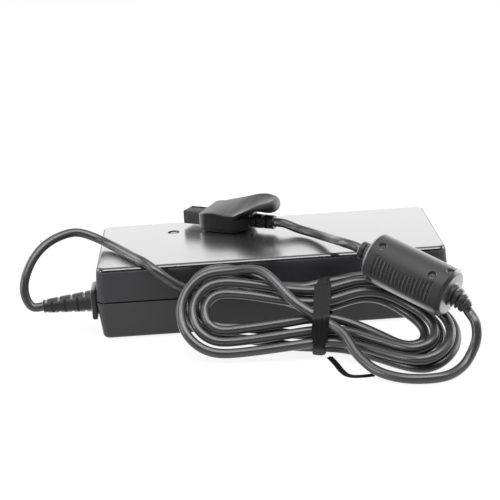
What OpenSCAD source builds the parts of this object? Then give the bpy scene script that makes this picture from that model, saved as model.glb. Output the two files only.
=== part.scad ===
// Laptop power adapter: two-shell case with its circuit, an output cord with
// ferrite and plug, and the cord gathered in a tied hank. Millimetres.
// Origin: centre of the case footprint on the surface the feet stand on.
// +X along the case to the mains inlet, +Y to the rear, +Z up.

/* [Case] */
// Case length, over the seam
case_l = 133.85; // [128:0.05:145]
// Case width, over the seam
case_w = 58.4; // [56:0.1:70]
// Height of the top face above the surface
case_h = 28.7; // [28:0.1:36]
// Height of the seam above the surface
seam_z = 15.4; // [13:0.1:17]
// Wall thickness
wall = 2.2; // [1.6:0.1:2.4]
// Radius of the upright corners
corner_r = 4.5; // [3.5:0.1:7]
// Radius of the top and bottom edges
edge_r = 1.6; // [0.8:0.1:2]
// Inset of the upper shell at its top, from draft
draft_top = 1; // [0.4:0.1:1.2]
// Inset of the lower shell at its bottom, from draft
draft_bottom = 1.75; // [0.8:0.05:1.8]
// Height of the open seam line
seam_gap = 0.5; // [0.3:0.1:0.8]
// Depth of the open seam line
seam_depth = 0.7; // [0.4:0.1:0.8]
// Thickness of the tongue of the lower shell
tongue_t = 0.8; // [0.5:0.1:0.9]
// Height of the tongue of the lower shell
tongue_h = 1.4; // [0.8:0.1:2.5]
// Clearance of the tongue in its rebate
tongue_fit = 0.1; // [0.05:0.05:0.2]

/* [Feet] */
// Diameter of a foot pad
foot_d = 8; // [5:0.5:10]
// Thickness of a foot pad
foot_t = 1; // [0.8:0.1:1.4]
// Height that a foot stands proud
foot_proud = 0.6; // [0.3:0.1:0.7]
// Distance of a foot centre from the end of the case
foot_in_x = 12.9; // [9:0.1:20]
// Distance of a foot centre from the side of the case
foot_in_y = 10.2; // [8.5:0.1:14]
// Clearance round a foot pad in its recess
foot_fit = 0.1; // [0.05:0.05:0.2]

/* [Indicator light] */
// Distance of the light from the end of the case with the cord
led_in = 30; // [28:0.1:34]
// Position of the light across the case
led_y = 13.5; // [12:0.1:14]
// Diameter of the lens
lens_d = 3; // [2:0.1:3.2]
// Diameter of the dark ring sunk round the lens
lens_ring_d = 4.8; // [4.2:0.1:6]
// Depth of the sunk ring
lens_ring_depth = 0.5; // [0.3:0.1:1]
// Diameter of the flange of the light guide
lens_flange_d = 6; // [5:0.1:6.4]
// Clearance round the lens
lens_fit = 0.1; // [0.05:0.05:0.15]
// Diameter of the lamp on the board
lamp_d = 3; // [2:0.1:3.2]
// Height of the lamp
lamp_h = 5.3; // [4:0.1:8]

/* [Mains inlet] */
// Width of the inlet body
inlet_w = 20; // [19:0.5:22]
// Height of the inlet body
inlet_h = 16; // [15.5:0.5:17]
// Depth of the inlet body
inlet_d = 18; // [15:0.5:19]
// Depth of the three-lobed recess
inlet_recess = 11.4; // [11:0.1:13]
// Diameter of a lobe of the recess
inlet_lobe_d = 7.2; // [7:0.1:7.4]
// Distance of a lower lobe from the middle line
inlet_lobe_x = 4.4; // [4:0.1:4.6]
// Height of the upper lobe above the lower ones
inlet_lobe_z = 5.6; // [5:0.1:6]
// Diameter of an inlet pin
pin_d = 2.4; // [1.8:0.1:2.6]
// Length of an inlet pin in the recess
pin_free = 6.8; // [6:0.1:6.9]
// Clearance round the inlet body in the shells
inlet_fit = 0.1; // [0.05:0.05:0.2]

/* [Circuit board] */
// Clearance between the board and the case wall
board_gap = 0.5; // [0.4:0.1:1]
// Thickness of the board
board_t = 1.6; // [1:0.1:2]
// Height of the underside of the board above the surface
board_z = 5; // [4.6:0.1:5.4]
// Thickness of the insulating sheet
sheet_t = 0.4; // [0.2:0.1:0.6]
// Distance of a board post from the edges of the board
post_in = 2.2; // [2:0.1:2.4]
// Diameter of a board post where it meets the board
post_d = 3.8; // [3:0.1:4]

/* [Parts on the board] */
// Least clearance between two parts, and between a part and the board's edge
part_gap = 1; // [0.8:0.1:1.2]
// Clearance of the tallest parts under the top of the case
top_gap = 0.9; // [0.5:0.1:1.5]
// Diameter of the bulk capacitor
bulk_d = 14; // [12:0.5:14.5]
// Length of the bulk capacitor
bulk_l = 24; // [20:0.5:24]
// Length of the transformer core
core_l = 32; // [28:0.5:32]
// Width of the transformer core
core_w = 20; // [18:0.5:20.5]
// Thickness of the transformer core plates and legs
core_t = 3.5; // [3:0.1:4]
// Diameter of the centre post of the transformer
core_post_d = 10; // [8:0.1:10.4]
// Outer diameter of the transformer winding
winding_d = 20; // [18:0.5:23]
// Thickness of the bobbin base
bobbin_base = 3; // [2.5:0.1:3]
// Clearance between the bobbin and the core
bobbin_fit = 0.2; // [0.1:0.05:0.3]
// Thickness of the heat sink plates
sink_t = 2; // [1:0.1:2]
// Length of the heat sink plates
sink_l = 22; // [18:0.5:24]
// Outer diameter of the mains choke
choke_d = 20; // [16:0.5:20]
// Height of the mains choke core
choke_h = 9; // [6:0.5:12]
// Diameter of an output capacitor
out_cap_d = 9; // [6:0.5:9.5]
// Outer diameter of the output choke
out_choke_d = 12; // [10:0.5:12.5]
// Diameter of the hole of the output choke
out_choke_hole = 4.4; // [3:0.2:5]
// Height of the output choke
out_choke_h = 7; // [5:0.5:10]
// Diameter of the fuse
fuse_d = 8.5; // [7:0.5:9]
// Diameter of the thermistor disc
ntc_d = 11; // [9:0.5:11.5]
// Thickness of the thermistor disc
ntc_t = 4; // [3:0.5:5]
// Height of the suppression capacitor
x_cap_h = 14.5; // [10:0.5:15.5]
// Length of the suppression capacitor
x_cap_l = 18; // [15:0.5:18.5]
// Width of the suppression capacitor
x_cap_w = 8; // [6:0.5:9]
// Height of the ring of beading round an output capacitor
can_bead = 2.4; // [1.5:0.1:3]
// Width of the bridge rectifier
bridge_w = 15; // [12:0.5:16]
// Height that parts on legs stand above the board
leg_h = 1.2; // [0.6:0.1:1.5]
// Diameter of a wire leg
leg_d = 0.8; // [0.5:0.1:1]

/* [Cord] */
// Diameter of the cord
cord_d = 3.5; // [3:0.1:3.6]
// Height of the boot axis above the surface
boot_z = 13.6; // [13:0.1:14]
// Distance of the boot axis from the side of the case
boot_in = 9.7; // [9.2:0.1:14]
// Width of the boot neck where it passes the wall
boot_neck = 8; // [7:0.1:9]
// Width of the outside boot flange
boot_flange_w = 12; // [10.5:0.1:13]
// Thickness of the outside boot flange
boot_flange_t = 2; // [1:0.1:3]
// Diameter of the boot at its root
boot_root_d = 8.4; // [7.5:0.1:10]
// Diameter of the boot at its tip
boot_tip_d = 5.2; // [4.6:0.1:6]
// Length of the tapered part of the boot
boot_l = 18.7; // [14:0.1:22]
// Number of slotted rings along the boot
boot_rings = 7; // [4:1:8]
// Width of a slot between boot rings
boot_slot = 0.9; // [0.6:0.1:1.1]
// Droop of the boot
boot_droop = 3; // [0:0.5:4]
// Clearance of the boot neck in the wall
boot_fit = 0.1; // [0.05:0.05:0.2]

/* [Ferrite] */
// Diameter of the ferrite jacket
ferrite_d = 18; // [14:0.1:19]
// Length of the ferrite jacket
ferrite_l = 32.6; // [28:0.1:34]
// Chamfer at the ends of the jacket
ferrite_edge = 1.2; // [0.5:0.1:1.5]
// Wall of the jacket over the core
jacket_wall = 1.8; // [1:0.1:2.5]
// Clearance between the jacket and the core
core_fit = 0.1; // [0.05:0.05:0.2]
// Width of the grip rib pitch
rib_pitch = 1.5; // [1.3:0.1:2.5]
// Number of grip ribs
rib_count = 16; // [4:1:17]
// Depth of the grooves between ribs
rib_depth = 0.4; // [0.2:0.1:0.6]
// How far round the jacket the ribs reach
rib_span = 115; // [60:5:120]
// Diameter of the collars at the plug end
collar_d = 6.5; // [5.5:0.1:8]
// Length of the collars at the plug end
collar_l = 5.5; // [4:0.1:7]
// Root diameter of the stepped relief at the case end
step_d = 8.5; // [6.5:0.1:10]
// Length of the stepped relief at the case end
step_l = 7.4; // [6:0.1:10]
// How far the stepped relief bends with the cord
step_bend = 38; // [20:1:60]
// Number of rings on the stepped relief
step_count = 4; // [3:1:5]

/* [Plug] */
// Width of the metal nose
nose_w = 7.8; // [6:0.1:8.4]
// Height of the metal nose
nose_h = 5.4; // [4.4:0.1:6]
// Length of the metal nose out of the body
nose_l = 6; // [4:0.1:7]
// Wall of the metal nose
nose_wall = 0.7; // [0.4:0.1:0.9]
// Depth of the nose hollow
nose_depth = 7; // [5:0.1:8]
// Width of the tongue in the nose
insert_w = 4.2; // [3:0.1:4.6]
// Thickness of the tongue in the nose
insert_t = 1.4; // [1:0.1:1.6]
// Thickness of a contact strip
contact_t = 0.3; // [0.2:0.05:0.4]
// Half width of the plug body at its widest
body_hw = 8.6; // [7.5:0.1:9]
// Height of the plug body
body_h = 8.3; // [7.5:0.1:8.6]
// Length of the thumb paddle
paddle_l = 20.6; // [16:0.2:22]
// Width of the thumb paddle
paddle_w = 17; // [13:0.2:18]
// Thickness of the thumb paddle at its lip
paddle_t = 3.6; // [2.5:0.1:4]
// Height of the underside of the paddle above the case
paddle_z = 8.8; // [8.6:0.1:10.4]
// Depth of the dish in the paddle
paddle_dish = 1.8; // [0.4:0.1:2]
// How far the paddle's rear side is turned up
paddle_roll = 5.5; // [0:0.5:6]
// Width of the paddle's rim
paddle_rim = 1.9; // [1.2:0.1:3]
// Diameter of the plug relief
relief_d = 6; // [5:0.1:6.4]
// Number of slots along the plug relief
relief_slots = 4; // [2:1:5]

/* [Hank tie] */
// Width of the tie band
tie_w = 6; // [3:0.5:8]
// Thickness of the tie band
tie_t = 0.8; // [0.5:0.1:1.2]
// Clearance between the tie and the cord
tie_fit = 0.3; // [0.2:0.05:0.4]
// Width of the loose end of the tie
tail_w = 2.4; // [1.5:0.1:4]

/* [Hidden] */
$fn = 48;
eps = 0.05;

// Levels
shell_z0 = foot_proud;
ceiling_z = case_h - wall;
floor_z = shell_z0 + wall;
board_top = board_z + board_t;
inlet_z = board_top + inlet_h / 2;
inlet_face = case_l / 2 - max(draft_top, draft_bottom) * 0.5;
inlet_back = inlet_face - inlet_d;
pin_tail = 1.2;
lens_top = case_h - 0.15;
led_x = -case_l / 2 + led_in;
part_top = ceiling_z - top_gap;

// Board outline, and its ends as seen from the middle of the case
board_l = case_l - 2 * (wall + draft_bottom + board_gap);
board_w = case_w - 2 * (wall + draft_bottom + board_gap);
board_x = board_l / 2;
board_y = board_w / 2;
boot_y = -case_w / 2 + boot_in;
boot_in_x = -case_l / 2 + wall + draft_bottom + 0.2;
boot_inner_t = 1.6;
boot_inner_w = boot_neck + 2.8;

// ---------------------------------------------------------------- helpers

// A corner post of a shell: a drafted, filleted turning
module post(r0, r1, z0, z1, fil, up) {
  f = min(fil, r1 * 0.8);
  zc = up ? z1 - f : z0 + f;
  arc = [for (i = [0 : 4]) let (a = 22.5 * i)
    [r1 - f + f * cos(a), zc + (up ? 1 : -1) * f * sin(a)]];
  pts = concat([[0, up ? z0 : z1], [r0, up ? z0 : z1]], arc, [[0, up ? z1 : z0]]);
  rotate_extrude($fn = 32) polygon(pts);
}

// A drafted box with rounded corners: inset grows from ins0 at the seam side
module drafted(ins0, ins1, z0, z1, fil, up) {
  hull() {
    for (sx = [-1, 1]) {
      for (sy = [-1, 1]) {
        translate([sx * (case_l / 2 - corner_r), sy * (case_w / 2 - corner_r), 0])
          post(corner_r - ins0, corner_r - ins1, z0, z1, fil, up);
      }
    }
  }
}

// The band that follows the wall at the seam
module seam_ring(in0, in1, z0, z1) {
  difference() {
    rounded_block(case_l - 2 * in0, case_w - 2 * in0, z0, z1, corner_r - in0);
    rounded_block(case_l - 2 * in1, case_w - 2 * in1, z0 - 1, z1 + 1,
      max(0.5, corner_r - in1));
  }
}

module rounded_block(l, w, z0, z1, r) {
  translate([0, 0, (z0 + z1) / 2]) {
    cube([l - 2 * r, w, z1 - z0], center = true);
    cube([l, w - 2 * r, z1 - z0], center = true);
  }
  for (sx = [-1, 1]) {
    for (sy = [-1, 1]) {
      translate([sx * (l / 2 - r), sy * (w / 2 - r), z0])
        cylinder(r = r, h = z1 - z0, $fn = 32);
    }
  }
}

module at_posts() {
  for (sx = [-1, 1]) {
    for (sy = [-1, 1]) {
      translate([sx * (board_l / 2 - post_in), sy * (board_w / 2 - post_in), 0]) children();
    }
  }
}

module at_feet() {
  for (sx = [-1, 1]) {
    for (sy = [-1, 1]) {
      translate([sx * (case_l / 2 - foot_in_x), sy * (case_w / 2 - foot_in_y), 0]) children();
    }
  }
}

// What passes through both shells: the boot neck and the mains inlet
module end_openings() {
  translate([-case_l / 2 - 1, boot_y - boot_neck / 2 - boot_fit,
      boot_z - boot_neck / 2 - boot_fit])
    cube([8, boot_neck + 2 * boot_fit, boot_neck + 2 * boot_fit]);
  translate([boot_in_x, boot_y - boot_inner_w / 2 - boot_fit,
      boot_z - boot_inner_w / 2 - boot_fit])
    cube([boot_inner_t + boot_fit, boot_inner_w + 2 * boot_fit, boot_inner_w + 2 * boot_fit]);
  translate([case_l / 2 - 8, -inlet_w / 2 - inlet_fit, board_top - inlet_fit])
    cube([10, inlet_w + 2 * inlet_fit, inlet_h + 2 * inlet_fit]);
}

// Where a layer of the wall lies at a height of the lower or upper shell
function low_ins(z) = draft_bottom * (seam_z - z) / (seam_z - shell_z0);
function up_ins(z) = draft_top * (z - seam_z) / (case_h - seam_z);

// ---------------------------------------------------------------- case

module upper_shell() {
  color([0.10, 0.10, 0.11])
  difference() {
    union() {
      difference() {
        union() {
          drafted(up_ins(seam_z + seam_gap / 2), draft_top, seam_z + seam_gap / 2,
            case_h, edge_r, true);
          seam_ring(seam_depth, wall + draft_top, seam_z, seam_z + seam_gap / 2 + eps);
        }
        drafted(wall, wall + draft_top, seam_z - 1, ceiling_z, 0.8, true);
      }
      at_posts()
        translate([0, 0, board_top])
          cylinder(d1 = post_d, d2 = post_d + 1.2, h = ceiling_z - board_top + 0.5);
      translate([led_x, led_y, ceiling_z - 1.5])
        difference() {
          cylinder(d = lens_flange_d + 2 * lens_fit + 2, h = 2);
          translate([0, 0, -1]) cylinder(d = lens_flange_d + 2 * lens_fit, h = 4);
        }
    }
    seam_ring(wall - tongue_t - tongue_fit, wall + draft_top + 1, seam_z - 1,
      seam_z + tongue_h + tongue_fit);
    translate([led_x, led_y, ceiling_z - 1])
      cylinder(d = lens_d + 2 * lens_fit, h = wall + 2);
    translate([led_x, led_y, case_h - lens_ring_depth])
      cylinder(d = lens_ring_d, h = lens_ring_depth + 1);
    end_openings();
  }
}

module lower_shell() {
  color([0.10, 0.10, 0.11])
  difference() {
    union() {
      difference() {
        union() {
          drafted(low_ins(seam_z - seam_gap / 2), draft_bottom, shell_z0,
            seam_z - seam_gap / 2, edge_r, false);
          seam_ring(seam_depth, wall + draft_bottom, seam_z - seam_gap / 2 - eps, seam_z);
        }
        drafted(wall, wall + draft_bottom, floor_z, seam_z + 1, 0.8, false);
      }
      seam_ring(wall - tongue_t, wall, seam_z - 0.6, seam_z + tongue_h);
      at_posts()
        translate([0, 0, floor_z - 0.5])
          cylinder(d1 = post_d + 0.6, d2 = post_d, h = board_z - sheet_t - floor_z + 0.5);
    }
    at_feet()
      translate([0, 0, shell_z0 - 1])
        cylinder(d = foot_d + 2 * foot_fit, h = 1 + foot_t - foot_proud);
    end_openings();
  }
}

module rubber_feet() {
  color([0.05, 0.05, 0.05])
  at_feet() cylinder(d = foot_d, h = foot_t);
}

module led_lens() {
  guide_z = board_top + lamp_h + 0.3;
  color([0.85, 0.9, 0.8])
  translate([led_x, led_y, 0]) {
    translate([0, 0, guide_z]) cylinder(d = lens_d, h = lens_top - guide_z);
    translate([0, 0, ceiling_z - 1.2]) cylinder(d = lens_flange_d, h = 1.2);
  }
}

module led_lamp() {
  color([0.8, 0.85, 0.75])
  translate([led_x, led_y, board_top]) {
    cylinder(d = lamp_d + 0.8, h = 1);
    cylinder(d = lamp_d, h = lamp_h - lamp_d / 2);
    translate([0, 0, lamp_h - lamp_d / 2]) sphere(d = lamp_d);
  }
}

// ---------------------------------------------------------------- inlet

// Lobe centres: two low and one high, placed about the middle of the body
function lobes() = [[-inlet_lobe_x, -inlet_lobe_z / 2], [inlet_lobe_x, -inlet_lobe_z / 2],
  [0, inlet_lobe_z / 2]];

module ac_inlet() {
  lobe = lobes();
  inner = case_l / 2 - draft_bottom - wall;
  color([0.07, 0.07, 0.07])
  difference() {
    union() {
      translate([inlet_back, -inlet_w / 2, board_top]) cube([inlet_d, inlet_w, inlet_h]);
      translate([inner - 2, -inlet_w / 2 - 1.5, board_top]) cube([1.6, inlet_w + 3, inlet_h]);
    }
    for (p = lobe) {
      translate([inlet_face - inlet_recess, p[0], inlet_z + p[1]])
        rotate([0, 90, 0]) cylinder(d = inlet_lobe_d, h = inlet_recess + 1);
    }
    translate([inlet_face - inlet_recess, -inlet_lobe_x, inlet_z - inlet_lobe_z / 2 - inlet_lobe_d / 2])
      cube([inlet_recess + 1, 2 * inlet_lobe_x, inlet_lobe_d]);
    translate([inlet_face - inlet_recess, -inlet_lobe_d / 2, inlet_z - inlet_lobe_z / 2])
      cube([inlet_recess + 1, inlet_lobe_d, inlet_lobe_z]);
    for (p = lobe) {
      translate([inlet_back - 1, p[0], inlet_z + p[1]])
        rotate([0, 90, 0]) cylinder(d = pin_d, h = inlet_d);
    }
  }
}

module inlet_pins() {
  long = inlet_d - inlet_recess + pin_tail + pin_free - 0.6;
  color([0.8, 0.7, 0.4])
  for (p = lobes()) {
    translate([inlet_back - pin_tail, p[0], inlet_z + p[1]]) rotate([0, 90, 0]) {
      cylinder(d = pin_d, h = long);
      translate([0, 0, long]) cylinder(d1 = pin_d, d2 = pin_d - 1, h = 0.6);
    }
    translate([inlet_back - pin_tail, p[0] - 0.6, board_top])
      cube([0.6, 1.2, inlet_z + p[1] - board_top]);
  }
}

// ---------------------------------------------------------------- board

module circuit_board() {
  color([0.10, 0.35, 0.18])
  translate([-board_l / 2, -board_w / 2, board_z]) cube([board_l, board_w, board_t]);
}

module insulating_sheet() {
  color([0.85, 0.83, 0.75])
  translate([-board_l / 2, -board_w / 2, board_z - sheet_t])
    cube([board_l, board_w, sheet_t]);
}

// Legs under a part that stands on the board
module legs(points) {
  for (p = points) {
    translate([p[0], p[1], board_top]) cylinder(d = leg_d, h = leg_h + 0.4, $fn = 16);
  }
}

// Mains parts, counted from the end of the board at the inlet
ntc_x = board_x - 2 * post_in - ntc_d / 2 + 0.5;
fuse_x = ntc_x - ntc_d / 2 - 1.2 * part_gap - fuse_d / 2;
x_cap_x = board_x - 2 * post_in - 2 * part_gap - x_cap_l / 2;

module fuse() {
  color([0.15, 0.13, 0.12])
  translate([fuse_x, -board_y + part_gap + fuse_d / 2, 0]) {
    legs([[-2.5, 0], [2.5, 0]]);
    translate([0, 0, board_top + leg_h]) cylinder(d = fuse_d, h = 7.4);
    translate([0, 0, board_top + leg_h + 7.4]) cylinder(d1 = fuse_d, d2 = fuse_d - 1, h = 0.6);
  }
}

module thermistor() {
  color([0.2, 0.3, 0.2])
  translate([ntc_x, -board_y + 4 * part_gap + 1.75, 0]) {
    legs([[-3, 0], [3, 0]]);
    translate([0, 0, board_top + leg_h + ntc_d / 2 - 0.2])
      rotate([90, 0, 0]) cylinder(d = ntc_d, h = ntc_t, center = true);
  }
}

module x_capacitor() {
  color([0.75, 0.62, 0.2])
  translate([x_cap_x, board_y - 2 * part_gap - x_cap_w / 2, 0]) {
    legs([[-x_cap_l / 2 + 1.5, 0], [x_cap_l / 2 - 1.5, 0]]);
    translate([-x_cap_l / 2, -x_cap_w / 2, board_top + leg_h]) cube([x_cap_l, x_cap_w, x_cap_h]);
  }
}

choke_wire = 1.2;
choke_x = inlet_back - pin_tail - part_gap - choke_wire - choke_d / 2;
choke_y = -2;
choke_hole = 9;

module line_choke_core() {
  color([0.25, 0.32, 0.28])
  translate([choke_x, choke_y, board_top + leg_h + 1.4])
    rotate_extrude() translate([choke_hole / 2, 0]) square([(choke_d - choke_hole) / 2, choke_h]);
}

module line_choke_windings() {
  color([0.72, 0.4, 0.2])
  translate([choke_x, choke_y, board_top + leg_h]) {
    for (a = [-65, 115]) {
      rotate([0, 0, a])
        rotate_extrude(angle = 130)
          difference() {
            translate([choke_hole / 2 - choke_wire, 0])
              square([(choke_d - choke_hole) / 2 + 2 * choke_wire, choke_h + 2.8]);
            translate([choke_hole / 2, 1.4]) square([(choke_d - choke_hole) / 2, choke_h]);
          }
    }
    for (a = [-40, 40, 140, 220]) {
      rotate([0, 0, a]) translate([choke_d / 2 + 0.4, 0, -leg_h])
        cylinder(d = leg_d, h = leg_h + 0.6, $fn = 16);
    }
  }
}

// Halfway between the heat sink and the fuse
module bridge_rectifier() {
  color([0.08, 0.08, 0.08])
  translate([(sink1_x + sink_l + fuse_x - fuse_d / 2) / 2, -board_y + 4 * part_gap + 0.75, 0]) {
    legs([[-6, 0], [-2, 0], [2, 0], [6, 0]]);
    translate([-bridge_w / 2, -1.75, board_top + leg_h]) cube([bridge_w, 3.5, 11]);
  }
}

module bulk_capacitor() {
  lift = 0.2;
  cz = board_top + bulk_d / 2 + lift;
  color([0.12, 0.16, 0.3])
  translate([1, board_y - part_gap - bulk_d / 2, 0]) {
    translate([0, 0, cz]) rotate([0, 90, 0]) {
      cylinder(d = bulk_d - 0.8, h = bulk_l);
      translate([0, 0, 0.8]) cylinder(d = bulk_d, h = 2.2);
      translate([0, 0, 3.8]) cylinder(d = bulk_d, h = bulk_l - 4.2);
    }
    for (s = [-1, 1]) {
      translate([-1.2, s * 3.75, board_top]) cylinder(d = leg_d, h = cz - board_top + 0.4, $fn = 16);
      translate([-1.6, s * 3.75, cz]) rotate([0, 90, 0])
        cylinder(d = leg_d, h = 1.8, $fn = 16);
    }
  }
}

// A power package standing on the board against its heat sink; face is +Y
module power_package() {
  legs([[-2.5, 2.4], [0, 2.4], [2.5, 2.4]]);
  translate([-5, 1, board_top + leg_h]) cube([10, 3.4, 9]);
  translate([-5, 0, board_top + leg_h]) cube([10, 1.3, 14]);
}

sink_h = part_top - board_top;
sink1_x = -14;
sink1_y = -board_y + part_gap;
sink2_x = -board_x + 2 * post_in + part_gap;
sink2_y = board_y - part_gap;

module primary_heat_sink() {
  color([0.7, 0.7, 0.72])
  translate([sink1_x, sink1_y, board_top]) {
    cube([sink_l, sink_t, sink_h]);
    for (x = [0, sink_l - 1.5]) {
      translate([x, 0, 0]) cube([1.5, sink_t + 2, sink_h]);
    }
  }
}

module switching_transistor() {
  color([0.1, 0.1, 0.1])
  translate([sink1_x + sink_l - 5 - 1.6 * part_gap, sink1_y + sink_t, 0]) power_package();
}

module secondary_heat_sink() {
  color([0.7, 0.7, 0.72])
  translate([sink2_x, sink2_y - sink_t, board_top]) {
    cube([sink_l, sink_t, sink_h]);
    for (x = [0, sink_l - 1.5]) {
      translate([x, -2, 0]) cube([1.5, sink_t + 2, sink_h]);
    }
  }
}

module output_diode() {
  color([0.1, 0.1, 0.1])
  translate([sink2_x + sink_l / 2, sink2_y - sink_t, 0]) mirror([0, 1, 0]) power_package();
}

// Output capacitors and choke in a row across, the transformer beside them
out_cap_x = sink2_x + sink_l / 2 + part_gap + 1.1;
out_cap_y = -board_y + 2 * part_gap + out_cap_d / 2;
out_choke_y = out_cap_y + 1.5 * out_cap_d + 2 * part_gap + out_choke_d / 2;
xfmr_x = out_cap_x + out_cap_d / 2 + 2.5 * part_gap + 1 + core_l / 2;
xfmr_y = -3;
core_z = board_top + bobbin_base;
core_h = part_top - core_z;
window_z0 = core_z + core_t;
window_z1 = core_z + core_h - core_t;

module transformer_core() {
  color([0.22, 0.22, 0.24])
  translate([xfmr_x, xfmr_y, 0]) {
    for (z = [core_z, window_z1]) {
      translate([-core_l / 2, -core_w / 2, z]) cube([core_l, core_w, core_t]);
    }
    for (x = [-core_l / 2, core_l / 2 - core_t]) {
      translate([x, -core_w / 2, core_z]) cube([core_t, core_w, core_h]);
    }
    translate([0, 0, core_z + 1]) cylinder(d = core_post_d, h = core_h - 2);
  }
}

module transformer_bobbin() {
  tube_d = core_post_d + 2 * bobbin_fit + 2;
  color([0.12, 0.12, 0.12])
  translate([xfmr_x, xfmr_y, 0]) {
    translate([-core_l / 2 - 1, -core_w / 2 - 2.6, board_top])
      cube([core_l + 2, core_w + 5.2, bobbin_base]);
    for (s = [-1, 1]) {
      translate([-6, s * (core_w / 2 + 1.4) - 1.2, board_top])
        cube([12, 2.4, window_z0 + bobbin_fit + 1 - board_top]);
    }
    difference() {
      union() {
        translate([-6, -core_w / 2 - 1.4, window_z0 + bobbin_fit])
          cube([12, core_w + 2.8, 1]);
        translate([0, 0, window_z0 + bobbin_fit]) cylinder(d = winding_d + 1, h = 1);
        translate([0, 0, window_z0 + bobbin_fit])
          cylinder(d = tube_d, h = window_z1 - window_z0 - 2 * bobbin_fit);
        translate([0, 0, window_z1 - bobbin_fit - 1]) cylinder(d = winding_d + 1, h = 1);
      }
      translate([0, 0, window_z0]) cylinder(d = core_post_d + 2 * bobbin_fit, h = core_h);
    }
  }
}

module transformer_winding() {
  tube_d = core_post_d + 2 * bobbin_fit + 2;
  color([0.85, 0.75, 0.2])
  translate([xfmr_x, xfmr_y, window_z0 + bobbin_fit + 1])
    difference() {
      cylinder(d = winding_d, h = window_z1 - window_z0 - 2 * bobbin_fit - 2);
      translate([0, 0, -1]) cylinder(d = tube_d, h = core_h);
    }
}

module y_capacitors() {
  color([0.2, 0.4, 0.7])
  for (p = [[sink1_x - 6 * part_gap, -1], [sink1_x, 1]]) {
    translate([p[0], p[1] * (board_y - 4), 0]) {
      legs([[-2.5, 0], [2.5, 0]]);
      translate([0, 0, board_top + leg_h + 3.8])
        rotate([90, 0, 0]) cylinder(d = 8, h = 3, center = true);
    }
  }
}

module opto_coupler() {
  color([0.9, 0.9, 0.88])
  translate([sink1_x + 8.7, board_y - 7, board_top]) {
    translate([-2.3, -3.2, 0.4]) cube([4.6, 6.4, 3.2]);
    for (sx = [-1, 1]) {
      for (sy = [-1, 1]) {
        translate([sx * 1.27 - 0.3, sy * 3.6 - 0.4, 0]) cube([0.6, 0.8, 1.6]);
      }
    }
  }
}

module controller_chip() {
  color([0.08, 0.08, 0.08])
  translate([(xfmr_x + core_l / 2 + choke_x - choke_d / 2) / 2, -11, board_top]) {
    translate([-2.5, -2, 0.15]) cube([5, 4, 1.45]);
    for (i = [0 : 3]) {
      for (s = [-1, 1]) {
        translate([-1.9 + i * 1.27 - 0.2, s * 2.4 - 0.6, 0]) cube([0.4, 1.2, 0.5]);
      }
    }
  }
}

module output_capacitors() {
  color([0.1, 0.25, 0.2])
  for (i = [0, 1]) {
    translate([out_cap_x, out_cap_y + i * (out_cap_d + part_gap), board_top]) {
      cylinder(d = out_cap_d + 0.2, h = 0.6);
      cylinder(d = out_cap_d - 0.6, h = can_bead);
      translate([0, 0, can_bead - 0.2]) cylinder(d = out_cap_d, h = sink_h - can_bead - 0.4);
      translate([0, 0, sink_h - 0.6]) cylinder(d1 = out_cap_d, d2 = out_cap_d - 1, h = 0.6);
    }
  }
}

module output_choke() {
  color([0.75, 0.45, 0.2])
  translate([out_cap_x - 2 * part_gap, out_choke_y, board_top + leg_h]) {
    rotate_extrude() translate([out_choke_hole / 2, 0])
      square([(out_choke_d - out_choke_hole) / 2, out_choke_h]);
    for (a = [0, 180]) {
      rotate([0, 0, a]) translate([out_choke_d / 2 - 2, 0, -leg_h])
        cylinder(d = leg_d, h = leg_h + 0.6, $fn = 16);
    }
  }
}

wire_gap = 2.4;
wire_d = 1.6;

module output_wires() {
  x0 = boot_in_x + boot_inner_t;
  xd = x0 + 3.4;
  color([0.6, 0.1, 0.1])
  for (s = [-1, 1]) {
    translate([0, boot_y + s * wire_gap / 2, 0]) {
      translate([x0, 0, boot_z]) rotate([0, 90, 0]) cylinder(d = wire_d, h = xd - x0, $fn = 16);
      translate([xd, 0, boot_z]) sphere(d = wire_d, $fn = 16);
      translate([xd, 0, board_top]) cylinder(d = wire_d, h = boot_z - board_top, $fn = 16);
    }
  }
}

// ---------------------------------------------------------------- boot

boot_x = -case_l / 2 - boot_flange_t;
boot_pitch = (boot_l - 1.6) / boot_rings;

module dc_boot() {
  color([0.09, 0.09, 0.09])
  union() {
    translate([-case_l / 2 - boot_flange_t, boot_y - boot_flange_w / 2,
        boot_z - boot_flange_w / 2])
      cube([boot_flange_t, boot_flange_w, boot_flange_w]);
    translate([-case_l / 2 - 0.5, boot_y - boot_neck / 2, boot_z - boot_neck / 2])
      cube([boot_in_x + case_l / 2 + 1, boot_neck, boot_neck]);
    translate([boot_in_x, boot_y - boot_inner_w / 2, boot_z - boot_inner_w / 2])
      cube([boot_inner_t, boot_inner_w, boot_inner_w]);
    translate([boot_x, boot_y, boot_z]) rotate([0, -90 - boot_droop, 0])
      difference() {
        translate([0, 0, -0.6]) cylinder(d1 = boot_root_d + 0.1, d2 = boot_tip_d, h = boot_l + 0.6);
        for (i = [0 : boot_rings - 1]) {
          zr = 1.4 + boot_pitch * (i + 0.55);
          dr = boot_root_d + (boot_tip_d - boot_root_d) * zr / boot_l;
          rotate([0, 0, i % 2 == 0 ? 0 : 90]) {
            for (s = [-1, 1]) {
              translate([s * (dr / 2 + 2 - dr * 0.16) - 2, -dr, zr - boot_slot / 2])
                cube([4, 2 * dr, boot_slot]);
            }
          }
        }
      }
  }
}

boot_tip = [boot_x - boot_l * cos(boot_droop), boot_y, boot_z - boot_l * sin(boot_droop)];

// ---------------------------------------------------------------- tubes

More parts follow.
